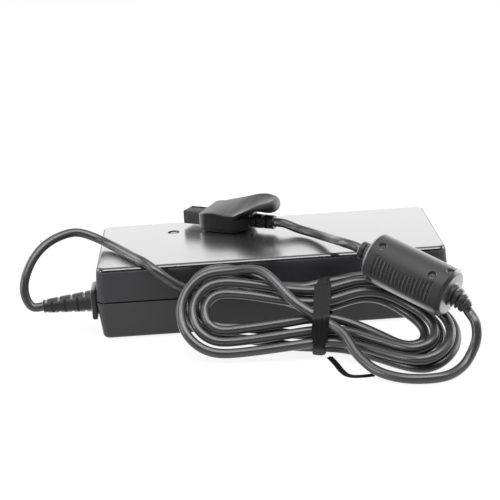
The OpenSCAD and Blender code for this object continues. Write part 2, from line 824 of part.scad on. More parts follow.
function unit(v) = v / norm(v);
function dirs(p) = [for (i = [0 : len(p) - 1])
  unit(i == 0 ? p[1] - p[0] : i == len(p) - 1 ? p[i] - p[i - 1] : p[i + 1] - p[i - 1])];
function side(u, t) = unit(u - (u * t) * t);
function sides(t, u0) = [for (i = 0, u = side(u0, t[0]); i < len(t);
  i = i + 1, u = i < len(t) ? side(u, t[i]) : u) u];

// A closed tube round the points, m sides, rings square to the run
module tube(p, d, m, u0) {
  t = dirs(p);
  u = sides(t, u0);
  r = d / 2 / cos(180 / m) * 0.98;
  n = len(p);
  pts = [for (i = [0 : n - 1]) for (k = [0 : m - 1])
    let (a = 360 * k / m, w = cross(t[i], u[i])) p[i] + r * (cos(a) * u[i] + sin(a) * w)];
  walls = [for (i = [0 : n - 2]) for (k = [0 : m - 1]) for (h = [0, 1])
    let (a = i * m + k, b = i * m + (k + 1) % m)
    h == 0 ? [a, a + m, b] : [b, a + m, b + m]];
  caps = [for (k = [1 : m - 2]) for (h = [0, 1])
    h == 0 ? [0, k, k + 1] : [(n - 1) * m, (n - 1) * m + k + 1, (n - 1) * m + k]];
  polyhedron(points = pts, faces = concat(walls, caps), convexity = 10);
}

// ---------------------------------------------------------------- hank

// The waist, where the tie sits
waist_x = 16;
waist_y = -61;
waist_lean = 47;
// The left and right folds: outer x, floor line y, lean from upright
left_x = -36;
left_y = -55;
left_lean = 40;
right_x = 63.5;
right_y = -86;
right_lean = 70;
// Innermost half heights of the turns and their steps outwards
waist_b = 2;
left_b = 6;
right_b = 8.5;
waist_step = 4.8;
left_step = 4.4;
right_step = 5.1;
fold_in_l = 4.4;
fold_in_r = 5.5;
// Distance between the two layers, and how each slides in the plane
layer = 4.4;
left_lift = 3;
left_drop = 3;
right_drop = 2;
// Length over which the floor line and the lean change
ease_l = 40;
ease_r = 38;
turns = 5;
run = 0.14;
end_low = 5;
rings = 24;

function ss(t) = let (c = min(1, max(0, t))) c * c * (3 - 2 * c);

function hank_pt(tau) = let (
  half = turns / 2,
  fold = 0.5 - 2 * run,
  rho = abs(tau - half),
  t = tau - floor(tau),
  rr = right_b + rho * right_step,
  rl = left_b + rho * left_step,
  cr = right_x - (half - rho) * fold_in_r - rr - waist_x,
  cl = waist_x - left_x - (half - rho) * fold_in_l - rl,
  a1 = 90 - 180 * (t - run) / fold,
  a2 = -90 + 180 * (t - 0.5 - run) / fold,
  x = t < run ? cr * t / run : t < run + fold ? cr + rr * cos(a1)
    : t < 0.5 ? cr * (0.5 - t) / run : t < 0.5 + run ? -cl * (t - 0.5) / run
    : t < 1 - run ? -cl - rl * cos(a2) : -cl * (1 - t) / run,
  s = t < run ? 1 : t < run + fold ? sin(a1) : t < 0.5 + run ? -1
    : t < 1 - run ? sin(a2) : 1,
  right = x > 0,
  w = ss(min(1, abs(x) / (right ? cr : cl))),
  ease = ss(abs(x) / (right ? ease_r : ease_l)),
  top0 = right ? right_b + half * right_step : left_b + half * left_step,
  mid0 = waist_b + half * waist_step,
  bo = mid0 + (top0 - mid0) * w,
  bt = waist_b + rho * waist_step,
  b = bt + ((right ? rr : rl) - bt) * w,
  climb = -1 + 2 * ss((tau - half + run) / run),
  e = (tau - turns + run) / run,
  h = e > 0 ? 1 + 2 * ss(e / 0.55) : climb,
  q = e > 0 ? b - (b + end_low) * ss((e - 0.35) / 0.65) : b * s,
  slide = (right ? 0 : left_lift * (1 - min(1, h)) / 2 * w)
    - ss((h - 0.3) / 0.7) * (right ? right_drop : left_drop) * w,
  lean = waist_lean + ((right ? right_lean : left_lean) - waist_lean) * ease,
  yf = waist_y + ((right ? right_y : left_y) - waist_y) * ease,
  zf = cord_d / 2 + layer / 2 * sin(lean) + 0.05,
  up = q + bo + slide,
  out = layer / 2 * h)
  [waist_x + x, yf + up * sin(lean) - out * cos(lean), zf + up * cos(lean) + out * sin(lean)];

hank = [for (i = [0 : turns * rings]) hank_pt(i / rings)];
hank_t0 = unit(hank_pt(0.004) - hank_pt(0));
hank_t1 = unit(hank_pt(turns) - hank_pt(turns - 0.004));
hank_a = hank[0];
hank_z = hank[len(hank) - 1];
self_gap = min([for (i = [0 : len(hank) - 1]) for (j = [i + 8 : 1 : len(hank) - 1])
  norm(hank[i] - hank[j])]) - cord_d;
echo(hank_least_gap = self_gap);

module cord_hank() {
  color([0.07, 0.07, 0.08])
  tube(hank, cord_d, 6, [0, -0.64, 0.77]);
}

// ---------------------------------------------------------------- ferrite

ferrite_a = [35.8, -48.9, 33.9];
ferrite_yaw = -38.1;
ferrite_tilt = 17.3;
axis = [cos(ferrite_tilt) * cos(ferrite_yaw), cos(ferrite_tilt) * sin(ferrite_yaw),
  -sin(ferrite_tilt)];
collar_tip = ferrite_a - axis * collar_l;
axis_down = [-sin(ferrite_tilt) * cos(ferrite_yaw), -sin(ferrite_tilt) * sin(ferrite_yaw),
  -cos(ferrite_tilt)];
bend_r = step_l / (step_bend * PI / 180);
step_dir = axis * cos(step_bend) + axis_down * sin(step_bend);
step_tip = bend_at(step_l);
rib_from = -130;

module on_ferrite() {
  translate(ferrite_a) rotate([0, 0, ferrite_yaw]) rotate([0, 90 + ferrite_tilt, 0]) children();
}

// A point of the bent relief's centre line, at a length along it
function bend_at(l) = let (a = step_bend * l / step_l)
  ferrite_a + axis * (ferrite_l + bend_r * sin(a)) + axis_down * bend_r * (1 - cos(a));

// A straight stretch of the bent relief, between two lengths along it
module bent(d, from, to) {
  a = step_bend * (from + to) / 2 / step_l;
  translate([bend_r * (1 - cos(a)), 0, ferrite_l + bend_r * sin(a)])
    rotate([0, a, 0])
      cylinder(d = d, h = to - from, center = true);
}

// Turned outline of the jacket with its collars
module jacket_outline() {
  r = ferrite_d / 2;
  e = ferrite_edge;
  c = collar_d / 2;
  polygon([[0, -collar_l], [c - 0.9, -collar_l], [c, -collar_l + 0.6], [c, -collar_l + 2.2],
    [c - 0.8, -collar_l + 2.2], [c - 0.8, -collar_l + 3], [c + 0.3, -collar_l + 3],
    [c + 0.3, -collar_l + 4.7], [c - 0.4, -collar_l + 4.7], [c - 0.4, 0],
    [r - e, 0], [r, e], [r, ferrite_l - e], [r - e, ferrite_l], [0, ferrite_l]]);
}

module ferrite_jacket() {
  rib_len = rib_pitch * rib_count;
  pitch = step_l / step_count;
  bore = cord_d + 4 * core_fit;
  end_d = bore + 1.2;
  n = 2 * step_count;
  color([0.10, 0.10, 0.10])
  difference() {
    union() {
      on_ferrite() rotate_extrude() jacket_outline();
      tube([for (i = [0 : n]) bend_at(step_l * i / n - (i == 0 ? 0.3 : 0))], end_d, 12, [0, 0, 1]);
      on_ferrite()
        for (i = [0 : step_count - 1])
          bent(step_d + (end_d + 0.6 - step_d) * i / (step_count - 1),
            i * pitch - (i == 0 ? 0.5 : 0), (i + 0.66) * pitch);
    }
    tube([for (i = [0 : n]) bend_at(step_l * i / n + (i == 0 ? -0.2 : i == n ? 0.4 : 0))],
      bore, 10, [0, 0, 1]);
    on_ferrite() {
      translate([0, 0, -collar_l - 1])
        cylinder(d = bore + 0.2, h = ferrite_l + collar_l + 1.1);
      translate([0, 0, jacket_wall]) cylinder(d = ferrite_d - 2 * jacket_wall,
        h = ferrite_l - 2 * jacket_wall);
      for (i = [0 : rib_count - 1]) {
        translate([0, 0, (ferrite_l - rib_len) / 2 + rib_pitch * (i + 0.5)])
          rotate([0, 0, rib_from])
            rotate_extrude(angle = rib_span)
              translate([ferrite_d / 2 - rib_depth, -rib_pitch / 4])
                square([2, rib_pitch / 2]);
      }
    }
  }
}

module ferrite_core() {
  color([0.25, 0.25, 0.27])
  on_ferrite()
    translate([0, 0, jacket_wall + core_fit])
      difference() {
        cylinder(d = ferrite_d - 2 * jacket_wall - 2 * core_fit,
          h = ferrite_l - 2 * jacket_wall - 2 * core_fit);
        translate([0, 0, -1]) cylinder(d = cord_d + 4 * core_fit, h = ferrite_l);
      }
}

module cord_in_ferrite() {
  n = 2 * step_count;
  p = concat([collar_tip, ferrite_a], [for (i = [0 : n]) bend_at(step_l * i / n)]);
  color([0.07, 0.07, 0.08])
  tube(p, cord_d, 8, [0, 0, 1]);
}

// ---------------------------------------------------------------- routes

module cord_lead() {
  d0 = [-cos(boot_droop), 0, -sin(boot_droop)];
  mid = [[-92.6, -19.2, 13.4], [-94.2, -18.2, 16.6], [-94.4, -16.6, 21],
    [-92.8, -13.8, 25.8], [-89.8, -10.2, 30.2], [-85.4, -6, 33.4], [-80, -2, 35],
    [-74.4, 0.8, 35], [-69, 1, 33.8], [-64, 0, 32], [-59.5, -4, 30.9],
    [-54.6, -11.8, 30.8], [-50, -20, 30.8], [-46, -27, 30.8], [-42.8, -31.6, 28.4],
    [-38.5, -32.4, 24.4], [-33, -31.6, 20.5], [-26, -31.3, 18.2], [-18, -31.3, 17.6],
    [-10, -31.6, 17.8], [-3, -33, 18.6], [4, -36, 20]];
  p = concat([boot_tip + d0 * 0.05, boot_tip + d0 * cord_d], mid,
    [hank_a - hank_t0 * (cord_d + 2), hank_a - hank_t0 * 0.1]);
  color([0.07, 0.07, 0.08])
  tube(p, cord_d, 8, [0, 1, 0]);
}

module cord_loop() {
  mid = [[22.3, -64.6, 10.9], [24.8, -70.4, 7.7], [27.6, -75.6, 5], [31.2, -80, 3],
    [36.2, -84.2, 2.05], [43, -87.6, 1.85], [50.2, -88.3, 1.85], [55.4, -86.7, 1.85],
    [59.4, -84, 2.4], [62.6, -81.4, 3.9], [65, -79.4, 6.6], [66.7, -78, 9.8],
    [67.3, -76.7, 13.2], [66.9, -74.7, 16.6]];
  p = concat([hank_z + hank_t1 * 0.1, hank_z + hank_t1 * cord_d], mid,
    [step_tip + step_dir * 1.6, step_tip + step_dir * 0.05]);
  color([0.07, 0.07, 0.08])
  tube(p, cord_d, 8, [0, 0, 1]);
}

module cord_to_plug() {
  mid = [[11, -0.6, 31.6], [15, -4.4, 30.8], [19, -9.6, 30.7], [22, -15.5, 31],
    [24.4, -22, 31.8], [26.4, -29, 33.2], [28, -36, 34.9]];
  p = concat([plug_exit, plug_exit + plug_dir * cord_d], mid,
    [collar_tip - axis * cord_d, collar_tip - axis * 0.05]);
  color([0.07, 0.07, 0.08])
  tube(p, cord_d, 8, [0, 0, 1]);
}

// ---------------------------------------------------------------- tie

tail = [[16, -59.6, 0.75], [21, -77.5, 0.05], [30.5, -78, 0.05]];

module cord_tie() {
  c = waist_b + turns / 2 * waist_step;
  r0 = cord_d / 2 + tie_fit;
  far = [[c, -layer / 2], [-c + waist_step / 2, -layer / 2], [-c + waist_step / 2, layer / 2],
    [-end_low, layer * 1.5], [c - waist_step, layer / 2]];
  cz = cord_d / 2 + layer / 2 * sin(waist_lean) + 0.05;
  color([0.05, 0.05, 0.05])
  union() {
    translate([waist_x - tie_w / 2, waist_y + c * sin(waist_lean), cz + c * cos(waist_lean)])
      rotate([-waist_lean, 0, 0]) rotate([90, 0, 90])
        linear_extrude(tie_w)
          difference() {
            hull() {
              for (p = far) {
                translate([-p[1], p[0]]) circle(r = r0 + tie_t, $fn = 24);
              }
            }
            hull() {
              for (p = far) {
                translate([-p[1], p[0]]) circle(r = r0, $fn = 24);
              }
            }
          }
    for (i = [0 : len(tail) - 2]) {
      hull() {
        for (q = [tail[i], tail[i + 1]]) {
          translate(q) cylinder(d = tail_w, h = tie_t, $fn = 16);
        }
      }
    }
  }
}

// ---------------------------------------------------------------- plug

plug_yaw = -30;
plug_at = [-30.8, 23.8, case_h];
nose_z = (1.4 + 6.8) / 2;
body_x0 = nose_l;
relief_x0 = 27;
relief_l = 12.6;
relief_z = 4.2;
plug_dir = [cos(plug_yaw), sin(plug_yaw), 0];
plug_exit = plug_at + plug_dir * (relief_x0 + relief_l + 0.05) + [0, 0, relief_z];
body_lift = 0.05;
paddle_x = 31.2;
dish_r = paddle_w / 2 - paddle_rim;
dish = concat([for (i = [0 : 6]) [dish_r * i / 6, -paddle_dish * (1 - (i / 6) * (i / 6))]],
  [[dish_r, 1], [0, 1]]);

module on_plug() {
  translate(plug_at) rotate([0, 0, plug_yaw]) children();
}

// A thin slab across the plug with rounded corners
module slab(x, hw, z0, z1, r) {
  for (s = [-1, 1]) {
    for (z = [z0 + r, z1 - r]) {
      translate([x - 0.2, s * (hw - r), z]) rotate([0, 90, 0]) cylinder(r = r, h = 0.4, $fn = 20);
    }
  }
}

// The paddle's own place: round pieces come out oval and turned up at the rear
module on_paddle() {
  translate([paddle_x, 0, paddle_z])
    rotate([paddle_roll, 0, 0])
      scale([paddle_l / paddle_w, 1, 1]) children();
}

module plug_body() {
  color([0.12, 0.12, 0.12])
  on_plug()
    difference() {
      union() {
        hull() {
          slab(body_x0, nose_w / 2 + 1.6, 0.9, 7.3, 1.2);
          slab(body_x0 + 4.4, body_hw - 0.5, body_lift, body_h, 1.8);
          slab(24, body_hw, body_lift, body_h, 2);
          slab(relief_x0 + 1.6, 4.4, 0.9, body_h - 0.4, 1.6);
        }
        difference() {
          hull() {
            slab(13, body_hw - 1.4, 4, body_h, 1.4);
            on_paddle() cylinder(d = paddle_w - 2.6, h = paddle_t, $fn = 40);
            on_paddle() translate([0, 0, 1.2]) cylinder(d = paddle_w, h = paddle_t - 2.4, $fn = 40);
          }
          on_paddle() translate([0, 0, paddle_t]) rotate_extrude($fn = 32) polygon(dish);
        }
        translate([relief_x0, 0, relief_z]) rotate([0, 90, 0])
          difference() {
            cylinder(d1 = relief_d, d2 = relief_d - 0.6, h = relief_l, $fn = 24);
            for (i = [0 : relief_slots - 1]) {
              translate([0, 0, 3 + i * (relief_l - 3.4) / relief_slots]) {
                for (s = [-1, 1]) {
                  translate([s * (relief_d / 2 + 1.2) - 2, -5, 0]) cube([4, 10, 0.9]);
                }
              }
            }
          }
      }
      translate([-1, -nose_w / 2, nose_z - nose_h / 2])
        cube([body_x0 + 1 + 3, nose_w, nose_h]);
    }
}

module plug_nose() {
  color([0.12, 0.12, 0.12])
  on_plug()
    difference() {
      translate([0, -nose_w / 2, nose_z - nose_h / 2]) cube([body_x0 + 3, nose_w, nose_h]);
      translate([-1, -nose_w / 2 + nose_wall, nose_z - nose_h / 2 + nose_wall])
        cube([nose_depth + 1, nose_w - 2 * nose_wall, nose_h - 2 * nose_wall]);
      translate([1.6, nose_w / 2 - 2.4, nose_z + nose_h / 2 - nose_wall - 0.5])
        cube([2.4, 1.2, 2]);
    }
}

module plug_insert() {
  color([0.08, 0.08, 0.08])
  on_plug()
    translate([1.2, -insert_w / 2, nose_z - insert_t / 2])
      cube([nose_depth - 1.2, insert_w, insert_t]);
}

module plug_contacts() {
  color([0.85, 0.7, 0.3])
  on_plug() {
    for (s = [-1, 1]) {
      for (y = [-1.2, 1.2]) {
        translate([1.6, y - 0.5, nose_z + (s > 0 ? insert_t / 2 : -insert_t / 2 - contact_t)])
          cube([nose_depth - 1.6, 1, contact_t]);
      }
    }
  }
}

// ---------------------------------------------------------------- choose

upper_shell();
lower_shell();
rubber_feet();
led_lens();
led_lamp();
ac_inlet();
inlet_pins();
circuit_board();
insulating_sheet();
fuse();
thermistor();
x_capacitor();
line_choke_core();
line_choke_windings();
bridge_rectifier();
bulk_capacitor();
switching_transistor();
primary_heat_sink();
transformer_core();
transformer_bobbin();
transformer_winding();
y_capacitors();
opto_coupler();
controller_chip();
output_diode();
secondary_heat_sink();
output_capacitors();
output_choke();
output_wires();
dc_boot();
cord_lead();
cord_hank();
cord_tie();
cord_loop();
cord_in_ferrite();
cord_to_plug();
ferrite_core();
ferrite_jacket();
plug_body();
plug_nose();
plug_insert();
plug_contacts();
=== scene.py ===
"""Looks of a laptop power adapter with its hanked output cord, ferrite block and flat plug.

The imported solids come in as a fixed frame. Each sub-assembly below is a class that holds its
sizes in millimetres and builds its meshes in metres, in the same frame.
"""

import logging
import math
from dataclasses import dataclass, field
from enum import Enum
from typing import Callable, Optional, Sequence, Union

import bmesh
import bpy
import numpy as np
from mathutils import Matrix, Vector


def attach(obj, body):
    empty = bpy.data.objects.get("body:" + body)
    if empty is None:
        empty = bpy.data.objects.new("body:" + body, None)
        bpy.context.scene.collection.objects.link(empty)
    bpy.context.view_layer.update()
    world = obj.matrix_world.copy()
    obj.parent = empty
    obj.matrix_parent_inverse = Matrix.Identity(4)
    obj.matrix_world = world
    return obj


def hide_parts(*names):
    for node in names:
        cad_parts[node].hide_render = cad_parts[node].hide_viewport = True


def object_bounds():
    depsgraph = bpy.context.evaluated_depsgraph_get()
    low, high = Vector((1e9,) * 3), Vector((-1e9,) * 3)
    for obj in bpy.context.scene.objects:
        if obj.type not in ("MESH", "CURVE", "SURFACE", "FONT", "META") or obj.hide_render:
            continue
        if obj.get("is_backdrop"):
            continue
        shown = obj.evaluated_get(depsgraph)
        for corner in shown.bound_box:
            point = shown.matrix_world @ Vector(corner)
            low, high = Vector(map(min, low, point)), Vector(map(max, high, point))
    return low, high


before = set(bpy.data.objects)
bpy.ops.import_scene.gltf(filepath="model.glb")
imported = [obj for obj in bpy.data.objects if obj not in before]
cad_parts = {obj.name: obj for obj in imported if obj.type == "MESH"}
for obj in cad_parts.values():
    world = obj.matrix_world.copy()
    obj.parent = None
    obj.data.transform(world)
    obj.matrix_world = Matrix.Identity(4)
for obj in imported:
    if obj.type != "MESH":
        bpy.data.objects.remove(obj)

CAD_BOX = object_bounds()
MM = 0.001
LOG = logging.getLogger("power_adapter")

Pair = tuple[float, float]
Triple = tuple[float, float, float]
Point = Sequence[float]
Ring = list[Triple]
Socket = bpy.types.NodeSocket
Value = Union[float, Sequence[float], bpy.types.NodeSocket]


# ------------------------------------------------------------------ camera


@dataclass
class Shot:
    """The camera's place in millimetres, its turn in degrees and its reach in metres."""

    at: Triple = (-21.0, -511.3, 187.6)
    yaw: float = 1.56
    pitch: float = 17.80
    roll: float = -3.34
    focal_px: float = 1360.8
    frame_px: float = 500.0
    sensor: float = 36.0
    nearest: float = 0.01
    farthest: float = 20.0

    def axes(self) -> Matrix:
        """Work out the camera's axes.

        Returns:
            A rotation whose columns are the camera's right, up and back.
        """
        yaw, pitch, roll = (math.radians(v) for v in (self.yaw, self.pitch, self.roll))
        ahead = Vector((math.sin(yaw) * math.cos(pitch), math.cos(yaw) * math.cos(pitch),
                        -math.sin(pitch)))
        level = Vector((math.cos(yaw), -math.sin(yaw), 0))
        top = level.cross(ahead)
        right = math.cos(roll) * level + math.sin(roll) * top
        up = -math.sin(roll) * level + math.cos(roll) * top
        return Matrix((right, up, -ahead)).transposed()

    def place(self) -> None:
        """Make the camera and set it as the scene's camera."""
        data = bpy.data.cameras.new("shot")
        data.sensor_width = self.sensor
        data.lens = self.focal_px / self.frame_px * self.sensor
        data.clip_start, data.clip_end = self.nearest, self.farthest
        camera = bpy.data.objects.new("shot", data)
        turn = self.axes().to_4x4()
        turn.translation = Vector(self.at) * MM
        camera.matrix_world = turn
        bpy.context.collection.objects.link(camera)
        bpy.context.scene.camera = camera


# ------------------------------------------------------------------ shapes


def smoothstep(t: float) -> float:
    """Ease from 0 to 1 while t goes from 0 to 1."""
    t = min(1.0, max(0.0, t))
    return t * t * (3 - 2 * t)


def mix(first: float, second: float, share: float) -> float:
    """Go from the first value to the second by a share."""
    return first + (second - first) * share


def unit(v: np.ndarray) -> np.ndarray:
    """Scale a vector to length 1."""
    return v / np.linalg.norm(v)


def through(points: Sequence[np.ndarray], steps: int) -> list[np.ndarray]:
    """Draw a smooth line through points.

    Args:
        points: The points, in order.
        steps: Number of steps from each point to the next.

    Returns:
        The points of the line.
    """
    line = []
    last = len(points) - 1
    for i in range(last):
        a, b, c, d = (points[max(0, min(last, j))] for j in range(i - 1, i + 3))
        for t in np.linspace(0, 1, steps, endpoint=False):
            line.append(0.5 * (2 * b + (c - a) * t + (2 * a - 5 * b + 4 * c - d) * t ** 2
                               + (3 * b - a - 3 * c + d) * t ** 3))
    return line + [points[-1]]


def key_line(x: float, xs: np.ndarray, ys: np.ndarray) -> float:
    """Read a smooth line that passes through keys without overshoot.

    Args:
        x: Where to read it.
        xs: Places of the keys.
        ys: Values at the keys.

    Returns:
        The value at x.
    """
    rise = np.diff(ys) / np.diff(xs)
    before, after = rise[:-1], rise[1:]
    inner = np.where(before * after > 0, 2 * before * after / (before + after + 1e-12), 0)
    slope = np.concatenate([[rise[0]], inner, [rise[-1]]])
    i = int(min(len(xs) - 2, max(0, np.searchsorted(xs, x, "right") - 1)))
    span = xs[i + 1] - xs[i]
    t = (x - xs[i]) / span
    return float((1 + 2 * t) * (1 - t) ** 2 * ys[i] + t * (1 - t) ** 2 * span * slope[i]
                 + t * t * (3 - 2 * t) * ys[i + 1] + t * t * (t - 1) * span * slope[i + 1])


def rounded_rect(length: float, width: float, radius: float, steps: int = 8) -> list[Pair]:
    """List the points of a rectangle with rounded corners, about its middle.

    Args:
        length: Size along the first axis.
        width: Size along the second axis.
        radius: Rounding of the corners, held between a hair and half of either size.
        steps: Number of steps in each corner.

    Returns:
        The points, anticlockwise.
    """
    hair, straight = 0.02, 0.01
    radius = max(hair, min(radius, length / 2 - straight, width / 2 - straight))
    points = []
    for quarter, (sx, sy) in enumerate(((1, 1), (-1, 1), (-1, -1), (1, -1))):
        for i in range(steps + 1):
            a = math.radians(90 * quarter + 90 * i / steps)
            points.append((sx * (length / 2 - radius) + radius * math.cos(a),
                           sy * (width / 2 - radius) + radius * math.sin(a)))
    return points


def circle(x: float, y: float, z: float, r: float, around: int) -> Ring:
    """List the points of a level circle of radius r about x, y at height z."""
    return [(x + r * math.cos(t), y + r * math.sin(t), z)
            for t in np.linspace(0, 2 * math.pi, around, endpoint=False)]


def eased_profile(corners: Sequence[Triple], steps: int = 4) -> list[Pair]:
    """Round the corners of a profile.

    Args:
        corners: Place along, distance out and rounding of each corner.
        steps: Number of steps in each rounded corner.

    Returns:
        Points of the profile.
    """
    most_of_edge = 0.48
    out: list[Pair] = []
    for i, (s, r, fillet) in enumerate(corners):
        if i == 0 or i == len(corners) - 1 or fillet <= 0:
            out.append((s, r))
            continue
        here = np.array([s, r])
        before = np.array(corners[i - 1][:2]) - here
        after = np.array(corners[i + 1][:2]) - here
        shorter = min(np.linalg.norm(before), np.linalg.norm(after))
        reach = min(fillet, shorter * most_of_edge)
        a, b = here + unit(before) * reach, here + unit(after) * reach
        for k in range(steps + 1):
            t = k / steps
            out.append(tuple((1 - t) ** 2 * a + 2 * t * (1 - t) * here + t * t * b))
    return out


# ------------------------------------------------------------------ meshes


def mesh_piece(name: str, verts: Sequence[Point], faces: Sequence[Sequence[int]],
               sharp: float = 38.0) -> bpy.types.Object:
    """Make an object from points in millimetres.

    Args:
        name: Name of the piece.
        verts: Points in millimetres.
        faces: Corners of each face.
        sharp: Edges that turn by more than this many degrees stay crisp.

    Returns:
        The new object, smooth shaded, with outward faces.
    """
    same_point = 1e-7
    mesh = bpy.data.meshes.new(name)
    mesh.from_pydata([tuple(c * MM for c in v) for v in verts], [], [tuple(f) for f in faces])
    tidy = bmesh.new()
    tidy.from_mesh(mesh)
    bmesh.ops.remove_doubles(tidy, verts=tidy.verts, dist=same_point)
    bmesh.ops.recalc_face_normals(tidy, faces=tidy.faces)
    tidy.to_mesh(mesh)
    tidy.free()
    mesh.shade_smooth()
    mesh.set_sharp_from_angle(angle=math.radians(sharp))
    piece = bpy.data.objects.new(name, mesh)
    bpy.context.collection.objects.link(piece)
    return piece


def skin(rings: Sequence[Ring], base: int) -> list[list[int]]:
    """List the faces that join rings of equal count, with caps on both ends.

    Args:
        rings: Rings of points, in order.
        base: Index of the first point.

    Returns:
        The faces.
    """
    count, around = len(rings), len(rings[0])
    faces = []
    for i in range(count - 1):
        here, there = base + i * around, base + (i + 1) * around
        for k in range(around):
            m = (k + 1) % around
            faces.append([here + k, here + m, there + m, there + k])
    faces.append([base + k for k in reversed(range(around))])
    faces.append([base + (count - 1) * around + k for k in range(around)])
    return faces


def loft(name: str, parts: Sequence[Sequence[Ring]], sharp: float = 38.0) -> bpy.types.Object:
    """Make one piece from one or more runs of rings.

    Args:
        name: Name of the piece.
        parts: Each part is a run of rings of equal count.
        sharp: Edges that turn by more than this many degrees stay crisp.

    Returns:
        The new object.
    """
    verts: list[Point] = []
    faces: list[list[int]] = []
    for rings in parts:
        faces += skin(rings, len(verts))
        verts += [p for ring in rings for p in ring]
    return mesh_piece(name, verts, faces, sharp)


def cut(piece: bpy.types.Object, tool: bpy.types.Object, sharp: float = 30.0) -> None:
    """Take the tool's volume out of the piece and remove the tool.

    Args:
        piece: What is cut.
        tool: The volume that is taken out.
        sharp: Edges that turn by more than this many degrees stay crisp.
    """
    step = piece.modifiers.new("cut", "BOOLEAN")
    step.operation, step.object, step.solver = "DIFFERENCE", tool, "EXACT"
    bpy.context.view_layer.update()
    graph = bpy.context.evaluated_depsgraph_get()
    done = bpy.data.meshes.new_from_object(piece.evaluated_get(graph))
    piece.modifiers.remove(step)
    old, piece.data = piece.data, done
    bpy.data.meshes.remove(old)
    done.shade_smooth()
    done.set_sharp_from_angle(angle=math.radians(sharp))
    bpy.data.objects.remove(tool)


def even_light(piece: bpy.types.Object, weight: int = 80) -> None:
    """Weight the normals by face so that large flat faces stay flat.

    Args:
        piece: The piece whose normals are weighted.
        weight: How far the large faces win.
    """
    step = piece.modifiers.new("normals", "WEIGHTED_NORMAL")
    step.keep_sharp = True
    step.weight = weight


def block(name: str, lo: Point, hi: Point,
          place: Callable[..., Point] = lambda *corner: corner) -> bpy.types.Object:
    """Make a plain block for cutting with.

    Args:
        name: Name of the tool.
        lo: Its lowest corner.
        hi: Its highest corner.
        place: Carries a corner from a sub-assembly's own frame, where it has one.

    Returns:
        The tool.
    """
    verts = [place(x, y, z) for x in (lo[0], hi[0]) for y in (lo[1], hi[1])
             for z in (lo[2], hi[2])]
    faces = [(0, 1, 3, 2), (4, 6, 7, 5), (0, 4, 5, 1), (2, 3, 7, 6), (0, 2, 6, 4), (1, 5, 7, 3)]
    return mesh_piece(name, verts, faces)


def rod(name: str, at: Point, d: float, height: float) -> bpy.types.Object:
    """Make an upright round tool for cutting with.

    Args:
        name: Name of the tool.
        at: Middle of its lower end.
        d: Its diameter.
        height: Its height.

    Returns:
        The tool.
    """
    around = 48
    return loft(name, [[circle(at[0], at[1], at[2] + h, d / 2, around) for h in (0, height)]])


# ------------------------------------------------------------------- nodes


class Wiring:
    """The nodes of a material or of the surround, cleared first and then laid one by one."""

    def __init__(self, owner: Union[bpy.types.Material, bpy.types.World]) -> None:
        """Clear the nodes of a material or a world.

        Args:
            owner: The material or world.
        """
        owner.use_nodes = True
        self.tree = owner.node_tree
        self.tree.nodes.clear()

    def feed(self, node: bpy.types.Node, inputs: dict[Union[str, int], Value]) -> bpy.types.Node:
        """Fill inputs of a node.

        Args:
            node: The node.
            inputs: A plain value or another node's socket for each name or number of an input.

        Returns:
            The same node.
        """
        for key, value in inputs.items():
            if isinstance(value, Socket):
                self.tree.links.new(value, node.inputs[key])
            else:
                node.inputs[key].default_value = value
        return node

    def add(self, kind: str, **inputs: Value) -> bpy.types.Node:
        """Lay a node and fill those of its inputs whose names are one word."""
        return self.feed(self.tree.nodes.new(kind), inputs)

    def calculate(self, operation: str, *values: Value) -> Socket:
        """Lay one step of arithmetic.

        Args:
            operation: Which step it is.
            values: Its plain values or sockets.

        Returns:
            The socket of the result.
        """
        node = self.tree.nodes.new("ShaderNodeMath")
        node.operation = operation
        return self.feed(node, dict(enumerate(values))).outputs["Value"]

    def ramp(self, source: Socket, start: float, end: float, low: float = 0.0,
             high: float = 1.0, smooth: bool = False) -> Socket:
        """Lay a ramp, held at its ends.

        Args:
            source: The value that the ramp reads.
            start: Value at which the ramp starts.
            end: Value at which it ends.
            low: Result at the start.
            high: Result at the end.
            smooth: True for a ramp that eases in and out.

        Returns:
            The socket of the result.
        """
        node = self.tree.nodes.new("ShaderNodeMapRange")
        if smooth:
            node.interpolation_type = "SMOOTHSTEP"
        return self.feed(node, {"Value": source, "From Min": start, "From Max": end,
                                "To Min": low, "To Max": high}).outputs["Result"]

    def axis(self, kind: str, name: str) -> Socket:
        """Lay one axis, X, Y or Z, of a kind of texture coordinate."""
        coord = self.add("ShaderNodeTexCoord")
        return self.add("ShaderNodeSeparateXYZ", Vector=coord.outputs[kind]).outputs[name]

    def blend(self, share: Socket, first: Socket, second: Socket) -> Socket:
        """Lay a mix of two shaders, where a share of 1 is all the second."""
        node = self.tree.nodes.new("ShaderNodeMixShader")
        return self.feed(node, {"Fac": share, 1: first, 2: second}).outputs["Shader"]


# ---------------------------------------------------------------- finishes


class Texture(Enum):
    """How the fine grain of a finish is stretched along each axis."""

    PLAIN = (1.0, 1.0, 1.0)
    DRAWN = (0.04, 1.0, 1.0)
    WOUND = (0.06, 1.0, 0.06)


